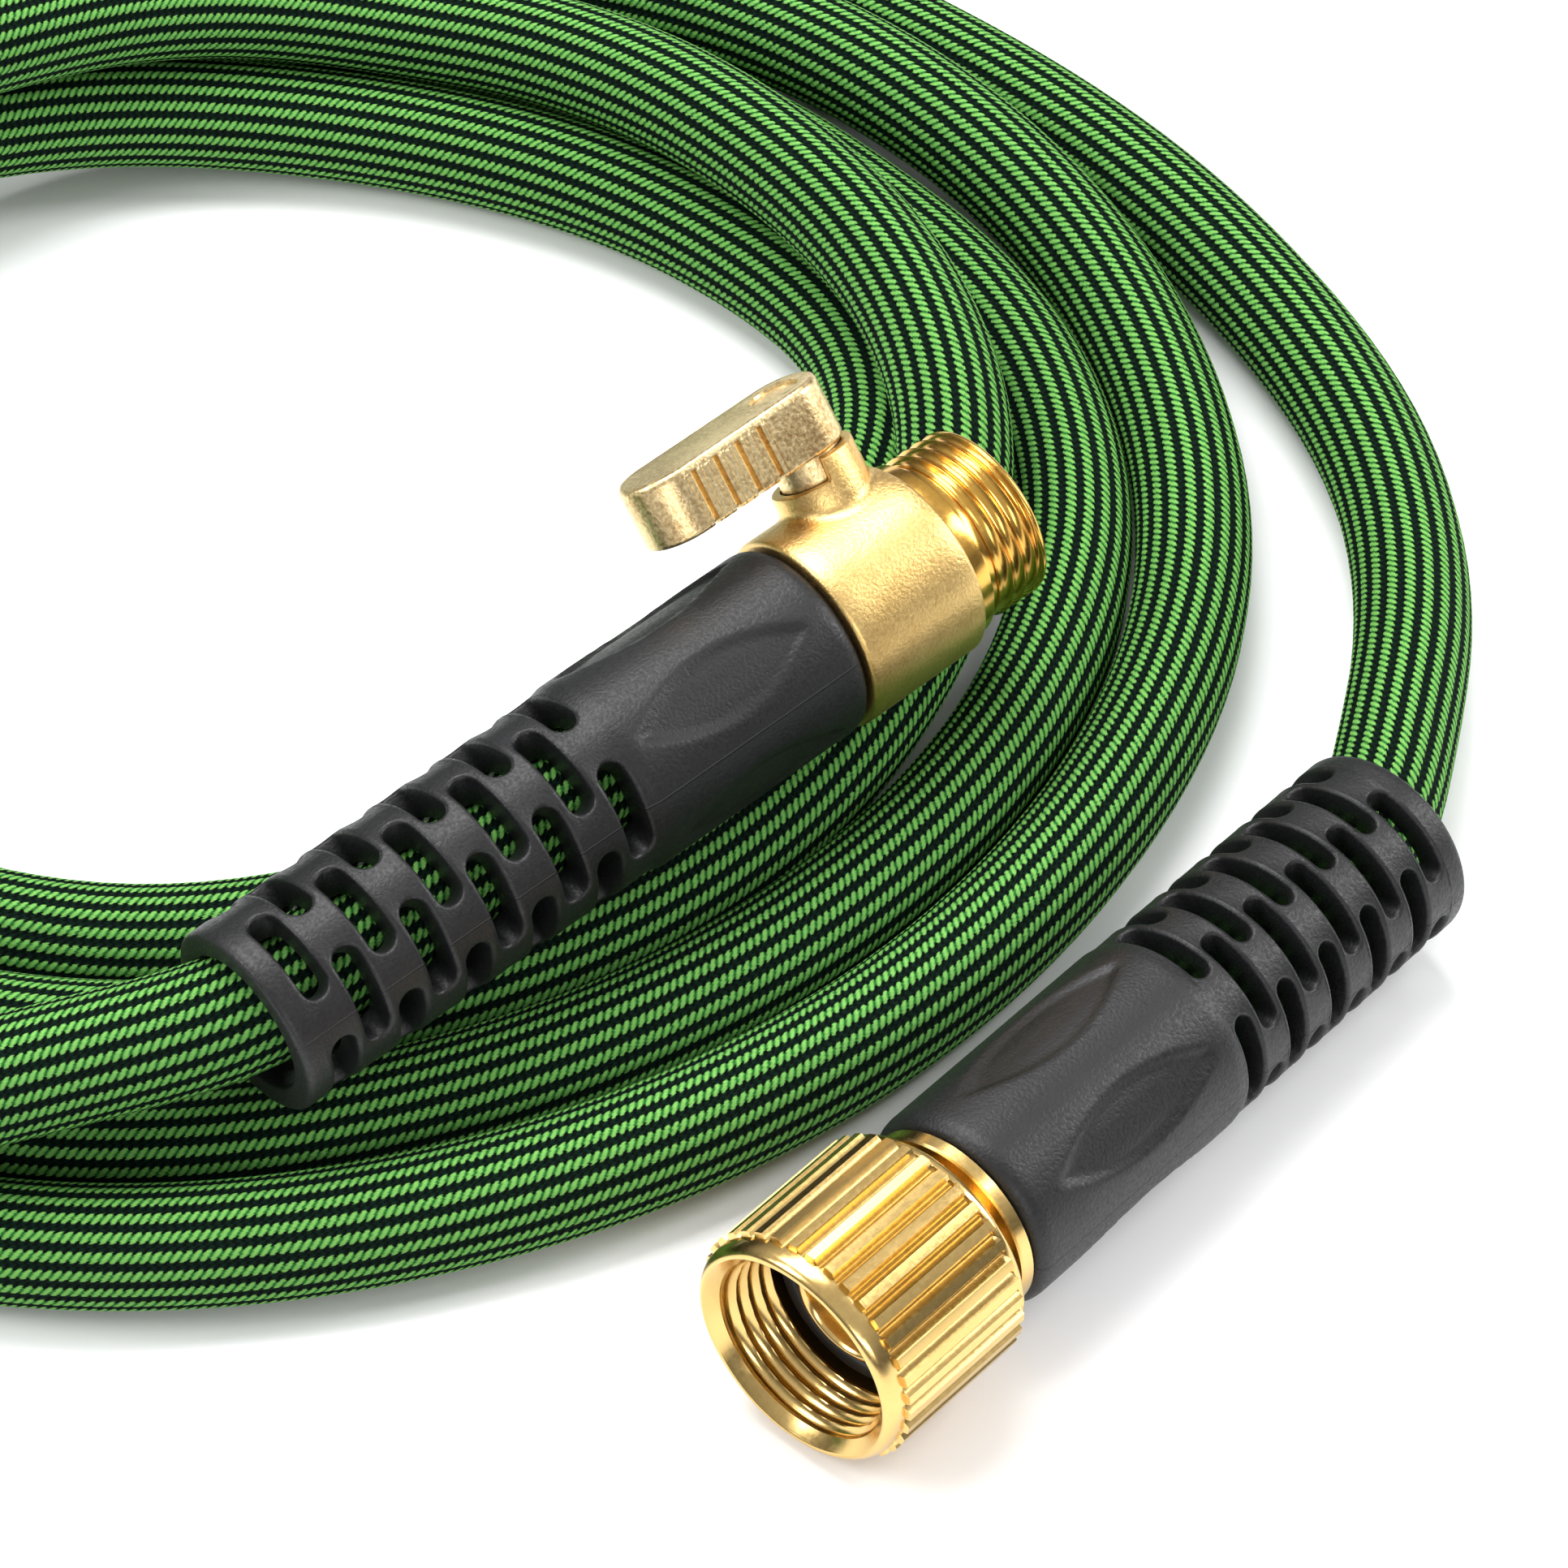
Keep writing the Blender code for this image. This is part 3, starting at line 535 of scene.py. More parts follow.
# The grips: ten rows of four slots in the relief, then the plain part with its five pointed hollows
grips = {
    "rows": 10,
    "slotsPerRow": 4,
    "slotAngle": 62.0,
    "slotShare": 0.72,
    "slotEdge": 0.58,
    "endRing": 3.4,
    "endRound": 0.9,
    "roundPart": 0.134,  # 1 - cos 30 degrees, for rounded edges
    "bore": 8.9,
    "mouthBore": 10.3,
    "tailBore": 11.3,
    "tailLength": 14.3,
    "hollows": 5,
    "hollowEdge": 1.05,
    "hollowDepth": 0.85,
    "valve": {"relief": 60.0, "reliefRadius": 13.8, "grip": 38.0, "gripRadius": 14.6, "phase": 16.0,
              "hollowAt": 121.0, "hollowLength": 31.0, "hollowWidth": 10.6, "hollowFrom": 2.5},
    "coupling": {"relief": 48.5, "reliefRadius": 14.4, "grip": 42.8, "gripRadius": 14.95, "phase": 57.0,
                 "hollowAt": 39.0, "hollowLength": 33.0, "hollowWidth": 10.8, "hollowFrom": 3.5},
}


# A slot with round ends: x goes round the grip and y along it, each with its outward direction.
# The point numbered first is the middle of the long side nearer the hose end.
def slotOutline(halfLength, halfWidth, count, first):
    straight = halfLength - halfWidth
    arc = math.pi * halfWidth
    whole = 4 * straight + 2 * arc
    outline = []
    for number in range(count):
        s = whole * ((number - first) % count) / count
        if s < straight:
            outline.append((s, -halfWidth, 0, -1))
        elif s < straight + arc:
            t = (s - straight) / halfWidth - math.pi / 2
            nx, ny = math.cos(t), math.sin(t)
            outline.append((straight + halfWidth * nx, halfWidth * ny, nx, ny))
        elif s < 3 * straight + arc:
            outline.append((2 * straight + arc - s, halfWidth, 0, 1))
        elif s < 3 * straight + 2 * arc:
            t = (s - 3 * straight - arc) / halfWidth + math.pi / 2
            nx, ny = math.cos(t), math.sin(t)
            outline.append((-straight + halfWidth * nx, halfWidth * ny, nx, ny))
        else:
            outline.append((s - whole, -halfWidth, 0, -1))
    return outline


def makeGrip(name, size, place, node, flashAngle):
    around = 128
    quarter = around // grips["slotsPerRow"]
    length = size["relief"] + size["grip"]
    rowPitch = (size["relief"] - grips["endRing"]) / grips["rows"]
    points, faces, known = [], [], {}

    def outer(x):
        middle = (size["reliefRadius"] + size["gripRadius"]) / 2
        return float(np.interp(x, [0, size["relief"], size["relief"] + 1.6],
                               [size["reliefRadius"], middle, size["gripRadius"]]))

    def inner(x):
        return grips["bore"] + (grips["mouthBore"] - grips["bore"]) * max(1 - x / hose["flare"], 0) ** 2

    def vertex(x, radius, angle):
        points.append((x * mm, radius * math.cos(angle) * mm, radius * math.sin(angle) * mm))
        return len(points) - 1

    def shared(side, row, fourth, step):
        key = (side, row, fourth, step % around)
        if key not in known:
            x = grips["endRing"] + rowPitch * (row + fourth / 4)
            radius = outer(x) if side else inner(x)
            known[key] = vertex(x, radius, math.radians(size["phase"]) + step * 2 * math.pi / around)
        return known[key]

    def ring(x, radius, depth=None):
        loop = []
        for step in range(around):
            angle = math.radians(size["phase"]) + step * 2 * math.pi / around
            loop.append(vertex(x, radius - (depth(x, angle) if depth else 0), angle))
        return loop

    def hollow(x, angle):
        span = 2 * math.pi / grips["hollows"]
        off = (angle - math.radians(size["hollowAt"]) + span / 2) % span - span / 2
        along = (x - size["relief"] - size["hollowFrom"]) / size["hollowLength"] * 2 - 1
        if abs(along) >= 1:
            return 0.0
        inside = size["hollowWidth"] / 2 * (1 - along ** 2) - abs(off) * size["gripRadius"]
        share = min(max(inside / grips["hollowEdge"], 0), 1)
        crown = min(max(inside / (size["hollowWidth"] / 2), 0), 1)
        return grips["hollowDepth"] * (share * share * (3 - 2 * share) * 0.7 + 0.3 * crown)

    halfWidth = rowPitch * grips["slotShare"] / 2
    radius = size["reliefRadius"]
    halfLength = radius * math.radians(grips["slotAngle"]) / 2
    outline = slotOutline(halfLength, halfWidth, 2 * quarter + 8, quarter // 2)
    edge, part = grips["slotEdge"], grips["roundPart"]
    for row in range(grips["rows"]):
        centreX = grips["endRing"] + rowPitch * (row + 0.5)
        for slot in range(grips["slotsPerRow"]):
            centre = slot * quarter + quarter // 2 * (row % 2)
            middle = math.radians(size["phase"]) + centre * 2 * math.pi / around
            left, right = centre - quarter // 2, centre + quarter // 2
            loops = []
            for side in (1, 0):
                loop = [shared(side, row, 0, step) for step in range(left, right + 1)]
                loop += [shared(side, row, fourth, right) for fourth in (1, 2, 3)]
                loop += [shared(side, row + 1, 0, step) for step in range(right, left - 1, -1)]
                loop += [shared(side, row, fourth, left) for fourth in (3, 2, 1)]
                loops.append(loop)
            walls = [loops[0]]
            for out, deep in ((1, 0), (0.5, part), (part, 0.5), (0, 1)):
                walls.append([vertex(centreX + y + ny * out * edge, outer(centreX + y) - deep * edge,
                                     middle + (x + nx * out * edge) / radius) for x, y, nx, ny in outline])
            for out, up in ((0, 0.35), (0.3, 0)):
                walls.append([vertex(centreX + y + ny * out, inner(centreX + y) + up,
                                     middle + (x + nx * out) / radius) for x, y, nx, ny in outline])
            walls.append(loops[1])
            for low, high in zip(walls, walls[1:]):
                faces += quadsBetween(low, high)

    def border(side, row):
        return [shared(side, row, 0, step) for step in range(around)]

    turn, mouth = grips["endRound"], grips["mouthBore"]
    section = [(2.0, radius), (turn, radius), (0.5 * turn, radius - part * turn),
               (part * turn, radius - 0.5 * turn), (0, radius - turn), (0, mouth + 0.4),
               (0.12, mouth + 0.12), (0.4, inner(0.4)), (1.8, inner(1.8))]
    loops = [border(1, 0)] + [ring(x, r) for x, r in section] + [border(0, 0)]
    for low, high in zip(loops, loops[1:]):
        faces += quadsBetween(low, high)

    steps = int(size["grip"] / 0.8)
    grid = [size["relief"] + (size["grip"] - 2.4) * step / steps for step in range(1, steps + 1)]
    loops = [border(1, grips["rows"])] + [ring(x, outer(x), hollow) for x in grid]
    full, seat = size["gripRadius"], length - grips["tailLength"]
    front = [(length - 1.5, full - 0.12), (length - 0.8, full - 0.42), (length - 0.25, full - 0.95),
             (length, full - 1.6), (length, grips["tailBore"]), (seat, grips["tailBore"]),
             (seat, grips["bore"])]
    loops += [ring(x, r) for x, r in front] + [border(0, grips["rows"])]
    for low, high in zip(loops, loops[1:]):
        faces += quadsBetween(low, high)
    material = mouldedRubber("mouldedRubber_" + name, flashAngle)
    piece = meshPiece(name, points, faces, material, place, mainBody, [node], smoothAngle=50)
    faceOutwards(piece)
    return piece


valveSleeve = makeGrip("valve_sleeve", grips["valve"], valveAxes, "valve_grip", 155.0)
makeGrip("coupling_sleeve", grips["coupling"], couplingAxes, "coupling_grip", 0.0)
print("grips moulded")


# Brass, three ways. Blasted: a frosted, sparkling skin. Cast and tumbled: the same, coarser and paler.
# Machined, which the thread is too: bright, with fine rings 0.25 mm apart from the lathe's tool. The
# grain of the first two is drawn coarser than the real 0.2 mm or so, so that it shows.
brasses = {
    "blastedBrass": {"color": "#EAC884", "deep": "#C0924A", "roughness": 0.36, "grain": 0.5,
                     "bump": 1.5, "rings": 0.0, "mottle": 0.5},
    "castBrass": {"color": "#F2DAA6", "deep": "#A27A44", "roughness": 0.33, "grain": 0.6,
                  "bump": 1.3, "rings": 0.0, "mottle": 0.8},
    "machinedBrass": {"color": "#DDBC78", "deep": "#C6A05A", "roughness": 0.2, "grain": 0.7,
                      "bump": 0.0, "rings": 0.05, "mottle": 0.25},
    "threadBrass": {"color": "#E4B258", "deep": "#C08A34", "roughness": 0.18, "grain": 0.8,
                    "bump": 0.0, "rings": 0.03, "mottle": 0.25},
}


def brassOf(kind):
    finish = brasses[kind]
    material, tree, shader = newMaterial(kind, 1.0, finish["roughness"])
    place = addNode(tree, "ShaderNodeTexCoord", output="Object")
    grain = addNode(tree, "ShaderNodeTexNoise", {"Vector": place, "Detail": 3.0, "Roughness": 0.6,
                                                 "Scale": 1 / (finish["grain"] * mm)})
    cloud = addNode(tree, "ShaderNodeTexNoise", {"Vector": place, "Detail": 3.0, "Scale": 1 / (9 * mm)})
    fleck = addNode(tree, "ShaderNodeMath", {0: grain, 1: 0.5}, operation="MULTIPLY")
    mixed = addNode(tree, "ShaderNodeMath", {0: cloud, 1: 0.5, 2: fleck}, operation="MULTIPLY_ADD")
    tone = addNode(tree, "ShaderNodeMapRange", {"Value": mixed, 1: 0.38, 2: 0.58,
                                                3: 1 - finish["mottle"], 4: 1.0})
    tinted = addNode(tree, "ShaderNodeMix", {0: tone, 6: linearColor(finish["deep"]),
                                             7: linearColor(finish["color"])},
                     output=2, data_type="RGBA")
    rough = addNode(tree, "ShaderNodeMapRange", {"Value": grain, 1: 0.3, 2: 0.7,
                                                 3: finish["roughness"] - 0.03,
                                                 4: finish["roughness"] + 0.04})
    alongAxis = addNode(tree, "ShaderNodeSeparateXYZ", {0: place})
    scaled = addNode(tree, "ShaderNodeMath", {0: alongAxis, 1: 1 / (0.25 * mm)}, operation="MULTIPLY")
    toolMark = addNode(tree, "ShaderNodeTexNoise", {"W": scaled, "Scale": 1.0, "Detail": 1.0},
                       noise_dimensions="1D")
    rings = addNode(tree, "ShaderNodeMath", {0: toolMark, 1: finish["rings"]}, operation="MULTIPLY")
    height = addNode(tree, "ShaderNodeMath", {0: grain, 1: finish["bump"], 2: rings},
                     operation="MULTIPLY_ADD")
    bump = addNode(tree, "ShaderNodeBump", {"Height": height, "Strength": 0.5, "Distance": 0.12 * mm})
    connect(tree, shader, {"Base Color": tinted, "Roughness": rough, "Normal": bump})
    return material


blasted, castFinish, machined, threadFinish = [brassOf(kind) for kind in brasses]

# The valve's body, from its seat in the grip to its rim, with the boss that carries the stem. Its
# x is measured from the hose end.
valve = {
    "tail": 11.0,
    "front": 98.3,
    "rim": 118.9,
    "radius": 14.9,
    "centre": 111.2,
    "cavity": 8.5,
    "waterway": 5.3,
    "bossRadius": 6.9,
    "bossInner": 5.5,
    "bossLow": 17.9,
    "bossHigh": 21.2,
    "bossFloor": 16.6,
    "wallFrom": -103.0,
    "wallTo": 77.0,
    "wallRamp": 2.6,  # degrees over which the stop wall rises
    "collar": 13.6,
    "collarEnd": 121.6,
    "neck": 12.2,
    "threadFrom": 123.3,
    "outlet": 132.14,
    "pitch": 2.2087,
    "threadRoot": 12.45,
    "threadDepth": 0.7,
    "threadRings": 150,
    "outletBore": 9.0,
    "outletDepth": 9.6,
}


crestWidth = 1.08  # above 1, a narrow flat tops the crest


# Thread: a thin crest, with a wide rounded root between
def crest(phase):
    away = abs((phase % 1) - 0.5) * 2
    return min(1.0, crestWidth * (1 - away) ** 2)


def smooth(value, low, high):
    t = min(max((value - low) / (high - low), 0), 1)
    return t * t * (3 - 2 * t)


# Boss: rings that leave the round body in a soft fillet, stay clear of its rim, and end in a stop
# wall on the outlet's side
def bossLoops():
    boss, full = valve["bossRadius"], valve["radius"]
    around = 144
    turns = evenAngles(around)
    loops = []
    for out, up in ((1.5, -0.06), (1.15, 0.0), (0.75, 0.08), (0.42, 0.22), (0.18, 0.48), (0.04, 0.85),
                    (0.0, 1.4)):
        loop = []
        for t in turns:
            reachOut = boss + out
            if math.cos(t) > 0.05:
                toRim = (valve["rim"] - valve["centre"] - 0.1) / math.cos(t)
                reachOut = min(reachOut, max(boss + out * 0.1, toRim))
            x, y = reachOut * math.cos(t), reachOut * math.sin(t)
            loop.append((x, y, math.sqrt(full ** 2 - y ** 2) + up))
        loops.append(loop)
    wide, ramp = valve["wallTo"] - valve["wallFrom"], valve["wallRamp"]
    tops = []
    for step in range(around):
        degrees = (step * 360 / around - valve["wallFrom"]) % 360
        wall = min(smooth(degrees, 0, ramp), 1 - smooth(degrees, wide, wide + ramp))
        tops.append(valve["bossLow"] + (valve["bossHigh"] - valve["bossLow"]) * wall)
    thick = boss - valve["bossInner"]
    for inset, drop in ((0.0, 0.3), (0.1, 0.08), (0.3, 0.0), (thick, 0.0), (thick, None),
                        (boss - 1.0, None)):
        r = boss - inset
        loops.append([(r * math.cos(t), r * math.sin(t), valve["bossFloor"] if drop is None else top - drop)
                      for t, top in zip(turns, tops)])
    return loops


def makeValveBody():
    front, rim, full, water = valve["front"], valve["rim"], valve["radius"], valve["waterway"]
    seat, tail = front - grips["tailLength"], valve["tail"]
    profile = [(seat, tail), (front, tail), (front, full - 0.8), (front + 0.08, full - 0.45),
               (front + 0.35, full - 0.12), (front + 0.8, full)]
    profile += [(front + 0.8 + (rim - front - 1.3) * step / 8, full) for step in range(1, 9)]
    profile += [(rim - 0.2, full - 0.1), (rim - 0.05, full - 0.25), (rim, full - 0.5), (rim, water)]
    reach = math.acos(water / valve["cavity"])
    for step in range(13):
        t = reach - 2 * reach * step / 12
        profile.append((valve["centre"] + valve["cavity"] * math.sin(t), valve["cavity"] * math.cos(t)))
    profile.append((seat, water))
    points, faces = lathe(profile, evenAngles(128))
    lean = (Matrix.Translation((valve["centre"] * mm, 0, 0))
            @ Matrix.Rotation(-math.radians(fittings["stemLean"]), 4, "X"))
    numbered = []
    for loop in bossLoops():
        numbered.append(list(range(len(points), len(points) + len(loop))))
        points += [tuple(lean @ (Vector(p) * mm)) for p in loop]
    for low, high in zip(numbered, numbered[1:]):
        faces += quadsBetween(low, high)
    faces.append(tuple(numbered[-1]))
    piece = meshPiece("valve_body_blasted", points, faces, blasted, valveAxes, mainBody, ["valve_body"],
                      smoothAngle=38)
    return piece


def makeOutlet():
    start, end, root = valve["threadFrom"], valve["outlet"], valve["threadRoot"]
    collar, collarEnd, neck = valve["collar"], valve["collarEnd"], valve["neck"]
    behind, water, bore = valve["rim"] - 0.2, valve["waterway"], valve["outletBore"]
    profile = [(behind, neck - 0.6), (behind, collar), (collarEnd - 0.2, collar),
               (collarEnd - 0.05, collar - 0.06), (collarEnd, collar - 0.25), (collarEnd, neck + 0.2),
               (collarEnd + 0.2, neck), (start, neck)]
    firstThread = len(profile)
    rings = valve["threadRings"]
    for step in range(rings + 1):
        profile.append((start + 0.12 + (end - 0.75 - start) * step / rings, root))
    lastThread = len(profile)
    inside = end - valve["outletDepth"]
    profile += [(end - 0.5, root + 0.62), (end - 0.2, root + 0.42), (end, root + 0.1), (end, bore + 0.5),
                (end - 0.12, bore + 0.2), (end - 0.45, bore), (inside, bore), (inside, water + 0.3),
                (inside - 0.3, water), (behind, water)]

    def thread(number, x, radius, angle):
        if not firstThread <= number < lastThread:
            return x, radius
        high = crest((x - start) / valve["pitch"] - angle / (2 * math.pi))
        fade = smooth(x, start, start + 1.2) * (1 - smooth(x, end - 1.5, end - 0.7))
        return x, radius + valve["threadDepth"] * (high * fade + 0.62 / valve["threadDepth"] * (1 - fade)
                                                   * smooth(x, end - 2.0, end - 0.8))

    points, faces = lathe(profile, evenAngles(160), thread)
    piece = meshPiece("valve_outlet_thread", points, faces, threadFinish, valveAxes, mainBody, smoothAngle=50)
    faceOutwards(piece)
    return piece


valveBody = faceOutwards(makeValveBody())
valveOutlet = makeOutlet()
print("valve body turned")

# The lever, in the stem's axes: a thick bar with round ends, gripping grooves cut in both sides
lever = {
    "low": 21.6,
    "high": 31.2,
    "radius": 6.1,
    "tip": -21.1,
    "edge": 0.75,
    "grooves": [7.6, 11.5, 15.4, 19.3],
    "grooveWidth": 0.95,
    "grooveDepth": 1.3,
    "grooveTop": 1.2,
    "lineOffsets": [-1.25, 1.3],
    "lineWidth": 0.22,
    "lineDepth": 0.1,
    "recess": 3.5,
    "recessDepth": 0.6,
    "hub": 5.2,
    "hubBore": 2.9,
    "hubLow": 17.2,
}


def leverOutline():
    radius = lever["radius"]
    cuts = []
    for at in lever["grooves"]:
        cuts.append((at, lever["grooveWidth"], lever["grooveDepth"]))
        cuts += [(at + off, lever["lineWidth"], lever["lineDepth"]) for off in lever["lineOffsets"]]
    cuts = sorted(cut for cut in cuts if cut[0] < -lever["tip"] - 0.2)
    along = []
    for at, width, depth in cuts:
        along += [(-(at - width / 2), 0), (-(at - width / 3), depth),
                  (-(at + width / 3), depth), (-(at + width / 2), 0)]
    outline = []

    def roundEnd(centre, first):
        for step in range(25):
            t = first + math.pi * step / 24
            nx, ny = math.cos(t), math.sin(t)
            outline.append((centre + radius * nx, radius * ny, nx, ny, 0))

    roundEnd(0, -math.pi / 2)
    outline.extend((x, radius, 0, 1, depth) for x, depth in along)
    roundEnd(lever["tip"], math.pi / 2)
    outline.extend((x, -radius, 0, -1, depth) for x, depth in reversed(along))
    return outline


def makeLever():
    outline = leverOutline()
    edge, low, high, top = lever["edge"], lever["low"], lever["high"], lever["grooveTop"]
    build = bmesh.new()

    def circle(radius, height, count):
        return [build.verts.new((radius * math.cos(a) * mm, radius * math.sin(a) * mm, height * mm))
                for a in evenAngles(count)]

    def join(loops):
        for under, over in zip(loops, loops[1:]):
            for quad in quadsBetween(under, over):
                build.faces.new(quad)

    loops = []
    for inset, height, cut in ((edge, low, 1), (0.29 * edge, low + 0.29 * edge, 1), (0, low + edge, 1),
                               (0, high - top - 0.5, 1), (0, high - top - 0.15, 0.6), (0, high - top, 0),
                               (0, high - edge, 0), (0.29 * edge, high - 0.29 * edge, 0), (edge, high, 0)):
        loop = []
        for x, y, nx, ny, deep in outline:
            inward = deep * cut + inset
            loop.append(build.verts.new(((x - nx * inward) * mm, (y - ny * inward) * mm, height * mm)))
        loops.append(loop)
    join(loops)
    build.faces.new(loops[0][::-1])
    # top face with the round recess over the pivot
    recess, floor = lever["recess"], lever["recessDepth"]
    rings = [circle(r, z, 48) for r, z in ((recess + 0.35, high), (recess + 0.1, high - 0.12),
                                           (recess, high - floor), (recess * 0.5, high - floor * 0.9))]
    join(rings)
    build.faces.new(rings[-1])
    edges = [build.edges.get(pair) for loop in (loops[-1], rings[0])
             for pair in zip(loop, loop[1:] + loop[:1])]
    bmesh.ops.triangle_fill(build, edges=edges, use_beauty=True)
    # hub, hollow for the stem
    hub, foot, bore = lever["hub"], lever["hubLow"], lever["hubBore"]
    sleeve = [circle(r, z, 64) for r, z in ((hub, low + 0.3), (hub, foot + 0.3), (hub - 0.3, foot),
                                            (bore, foot), (bore, low + 0.3))]
    join(sleeve + sleeve[:1])
    bmesh.ops.recalc_face_normals(build, faces=build.faces)
    mesh = bpy.data.meshes.new("valve_lever_cast")
    build.to_mesh(mesh)
    build.free()
    piece = linkPiece(mesh, castFinish, 50)
    flat = piece.modifiers.new("flatFaces", "WEIGHTED_NORMAL")
    flat.keep_sharp = True
    piece.matrix_world = stemAxes
    bpy.context.view_layer.update()
    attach(piece, "lever")
    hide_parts("valve_lever")
    return piece


leverPiece = makeLever()
print("lever cast")

# The coupling, x from its grip's hose end: insert, washer and the ribbed nut that turns on them
coupling = {
    "tail": 11.0,
    "back": 91.3,
    "nutBack": 96.6,
    "mouth": 123.6,
    "ribs": 36,
    "ribRadius": 17.6,
    "ribDepth": 1.1,
    "lip": 16.75,
    "pitch": 2.2087,
    "threadRoot": 13.8,
    "threadDepth": 0.85,
    "threadRings": 110,
    "nutBore": 10.8,
    "nutSeat": 106.2,  # front of its back wall
    "flangeBack": 106.5,
    "washerFront": 112.0,
    "tip": 113.2,
    "bore": 6.3,
}


def makeNut():
    back, mouth, bore = coupling["nutBack"], coupling["mouth"], coupling["nutBore"]
    lip, full, root = coupling["lip"], coupling["ribRadius"], coupling["threadRoot"]
    outside = [(back, bore), (back, lip - 0.9), (back + 0.15, lip - 0.45), (back + 0.5, lip - 0.05),
               (back + 0.9, lip + 0.1), (back + 1.5, lip + 0.1)]
    ribFrom = len(outside)
    outside += [(back + 1.6, full), (mouth - 3.0, full)]
    ribTo = len(outside)
    outside += [(mouth - 2.9, lip), (mouth - 2.1, lip), (mouth - 1.2, lip - 0.12), (mouth - 0.6, lip - 0.4),
                (mouth - 0.2, lip - 0.75), (mouth, lip - 1.15), (mouth, 15.4), (mouth - 0.15, 15.2),
                (mouth - 1.6, root)]
    firstThread = len(outside)
    rings = coupling["threadRings"]
    start = mouth - 1.7
    end = coupling["washerFront"] + 0.3
    outside += [(start + (end - start) * step / rings, root) for step in range(rings + 1)]
    lastThread = len(outside)
    outside += [(coupling["nutSeat"], root), (coupling["nutSeat"], bore)]
    # one rib, as shares of its pitch, and how deep the hollow beside it is there
    fractions = (-0.22, 0.0, 0.22, 0.28, 0.38, 0.5, 0.62, 0.72)
    hollow = {0.28: 0.3, 0.38: 0.78, 0.5: 1.0, 0.62: 0.78, 0.72: 0.3}
    ribs = coupling["ribs"]
    angles = [2 * math.pi * (rib + part) / ribs for rib in range(ribs) for part in fractions]

    def shape(number, x, radius, angle):
        if ribFrom <= number < ribTo:
            part = round((angle * ribs / (2 * math.pi)) % 1, 3)
            return x, radius - coupling["ribDepth"] * hollow.get(part, 0.0)
        if firstThread <= number < lastThread:
            high = crest((x - start) / coupling["pitch"] - angle / (2 * math.pi))
            fade = smooth(start - x, 0, 1.0) * (1 - smooth(start - x, start - end - 0.9, start - end))
            return x, radius - coupling["threadDepth"] * high * fade
        return x, radius

    points, faces = lathe(outside, angles, shape)
    piece = meshPiece("coupling_nut_ribbed", points, faces, machined, couplingAxes, "nut", ["coupling_nut"],
                      smoothAngle=38)
    faceOutwards(piece)


def makeInsert():
    back, bore, tip = coupling["back"], coupling["bore"], coupling["tip"]
    tail, flange = coupling["tail"], coupling["flangeBack"]
    profile = [(back - 14, bore), (back - 14, tail), (back + 0.3, tail), (back + 0.3, 13.5),
               (back + 0.5, 13.8), (back + 2.2, 13.8), (back + 2.5, 13.5), (back + 2.6, 10.6),
               (back + 2.9, 10.5), (flange, 10.5), (flange, 12.7), (108.9, 12.7), (108.9, 8.5),
               (tip - 0.5, 8.5), (tip - 0.12, 8.25), (tip, 7.95), (tip - 0.08, 7.7), (tip - 0.7, 7.3),
               (tip - 3.2, bore + 0.25), (tip - 6, bore)]
    points, faces = lathe(profile, evenAngles(96))
    piece = meshPiece("coupling_insert_turned", points, faces, machined, couplingAxes, mainBody,
                      ["coupling_insert"])
    faceOutwards(piece)


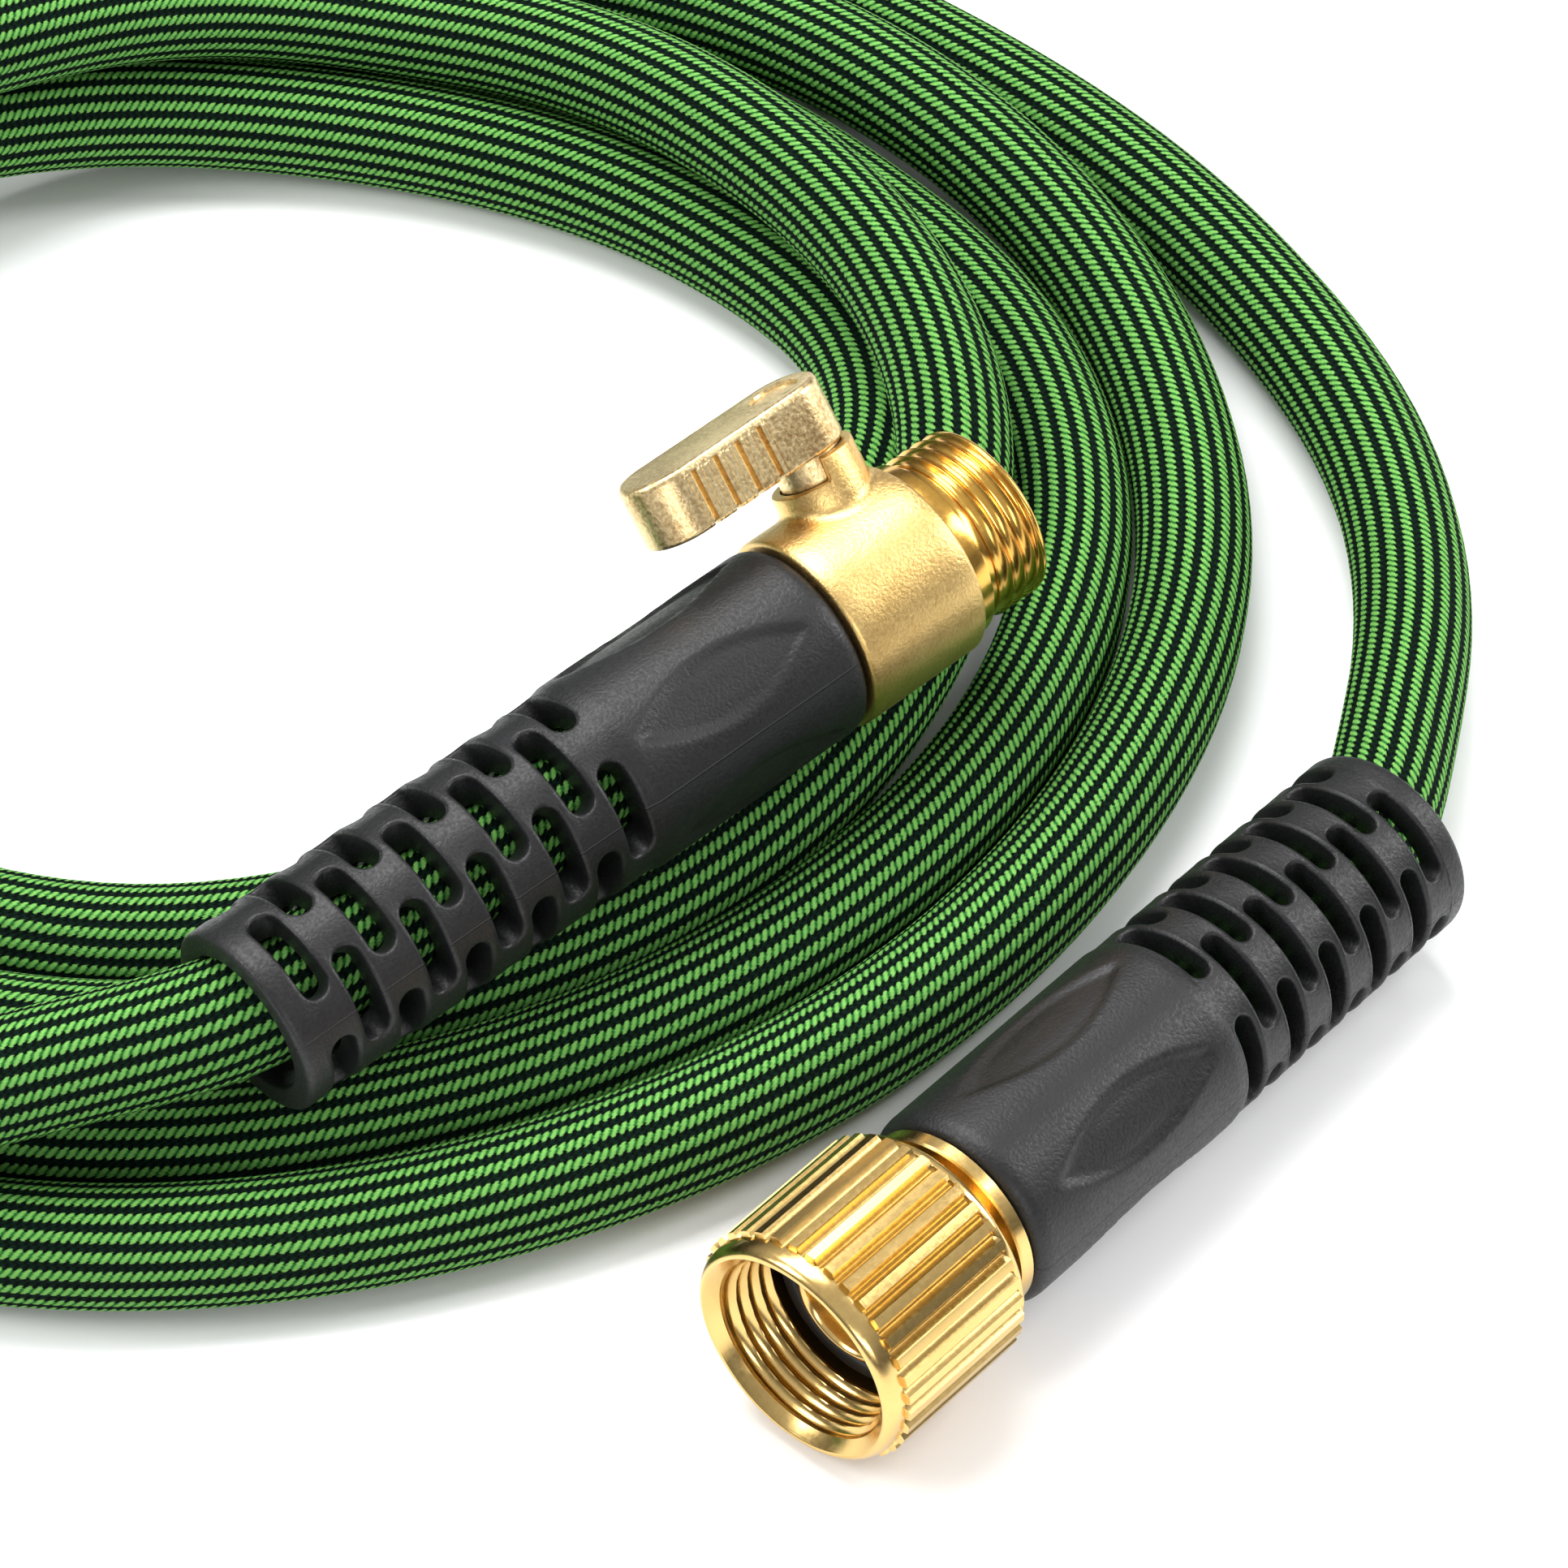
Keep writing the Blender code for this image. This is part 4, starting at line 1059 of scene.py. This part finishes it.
# Nitrile rubber, moulded: matt black with a little bloom
def nitrileRubber():
    material, tree, shader = newMaterial("mouldedNitrileRubber", 0.0, 0.55)
    place = addNode(tree, "ShaderNodeTexCoord", output="Object")
    bloom = addNode(tree, "ShaderNodeTexNoise", {"Vector": place, "Scale": 1 / (1.2 * mm), "Detail": 3.0})
    mottled = addNode(tree, "ShaderNodeMix", {0: bloom, 6: linearColor("#0C0C0D"),
                                              7: linearColor("#1B1B1D")},
                      output=2, data_type="RGBA")
    bump = addNode(tree, "ShaderNodeBump", {"Height": bloom, "Strength": 0.3, "Distance": 0.08 * mm})
    connect(tree, shader, {"Base Color": mottled, "Normal": bump})
    return material


def makeWasher():
    front = coupling["washerFront"]
    profile = [(front - 2.8, 9.0), (front - 2.8, 12.35), (front - 0.35, 12.4), (front - 0.08, 12.25),
               (front, 11.9), (front, 10.7), (front - 0.12, 10.45), (front - 0.6, 10.2),
               (front - 0.6, 9.3), (front - 0.8, 9.0)]

    def lobes(number, x, radius, angle):
        return x, radius + (0.22 * math.cos(6 * angle) if 10 <= radius < 11 else 0.0)

    points, faces = lathe(profile, evenAngles(96), lobes)
    piece = meshPiece("coupling_washer_ring", points, faces, nitrileRubber(), couplingAxes, mainBody,
                      ["coupling_washer"], smoothAngle=50)
    faceOutwards(piece)


makeNut()
makeInsert()
makeWasher()
print("coupling turned")


# The ball and stem stay as the part has them. Chromed brass, polished: mirror bright, a little
# clouded. Oxidised steel: near black, satin, with a soft mottle.
def steelOf(name, dark, light, roughness, grain):
    material, tree, shader = newMaterial(name, 1.0, roughness)
    place = addNode(tree, "ShaderNodeTexCoord", output="Object")
    mottle = addNode(tree, "ShaderNodeTexNoise", {"Vector": place, "Scale": 1 / (grain * mm),
                                                  "Detail": 4.0})
    tinted = addNode(tree, "ShaderNodeMix", {0: mottle, 6: linearColor(dark), 7: linearColor(light)},
                     output=2, data_type="RGBA")
    rough = addNode(tree, "ShaderNodeMapRange", {"Value": mottle, 1: 0.3, 2: 0.7,
                                                 3: roughness - 0.04, 4: roughness + 0.08})
    connect(tree, shader, {"Base Color": tinted, "Roughness": rough})
    return material


for node, finish in (("valve_ball", steelOf("polishedChrome", "#C6C8CA", "#DCDDDF", 0.12, 1.5)),
                     ("valve_stem", steelOf("oxidisedSteel", "#2A2826", "#3B3835", 0.42, 0.8))):
    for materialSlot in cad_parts[node].material_slots:
        materialSlot.material = finish
print("ball and stem finished")
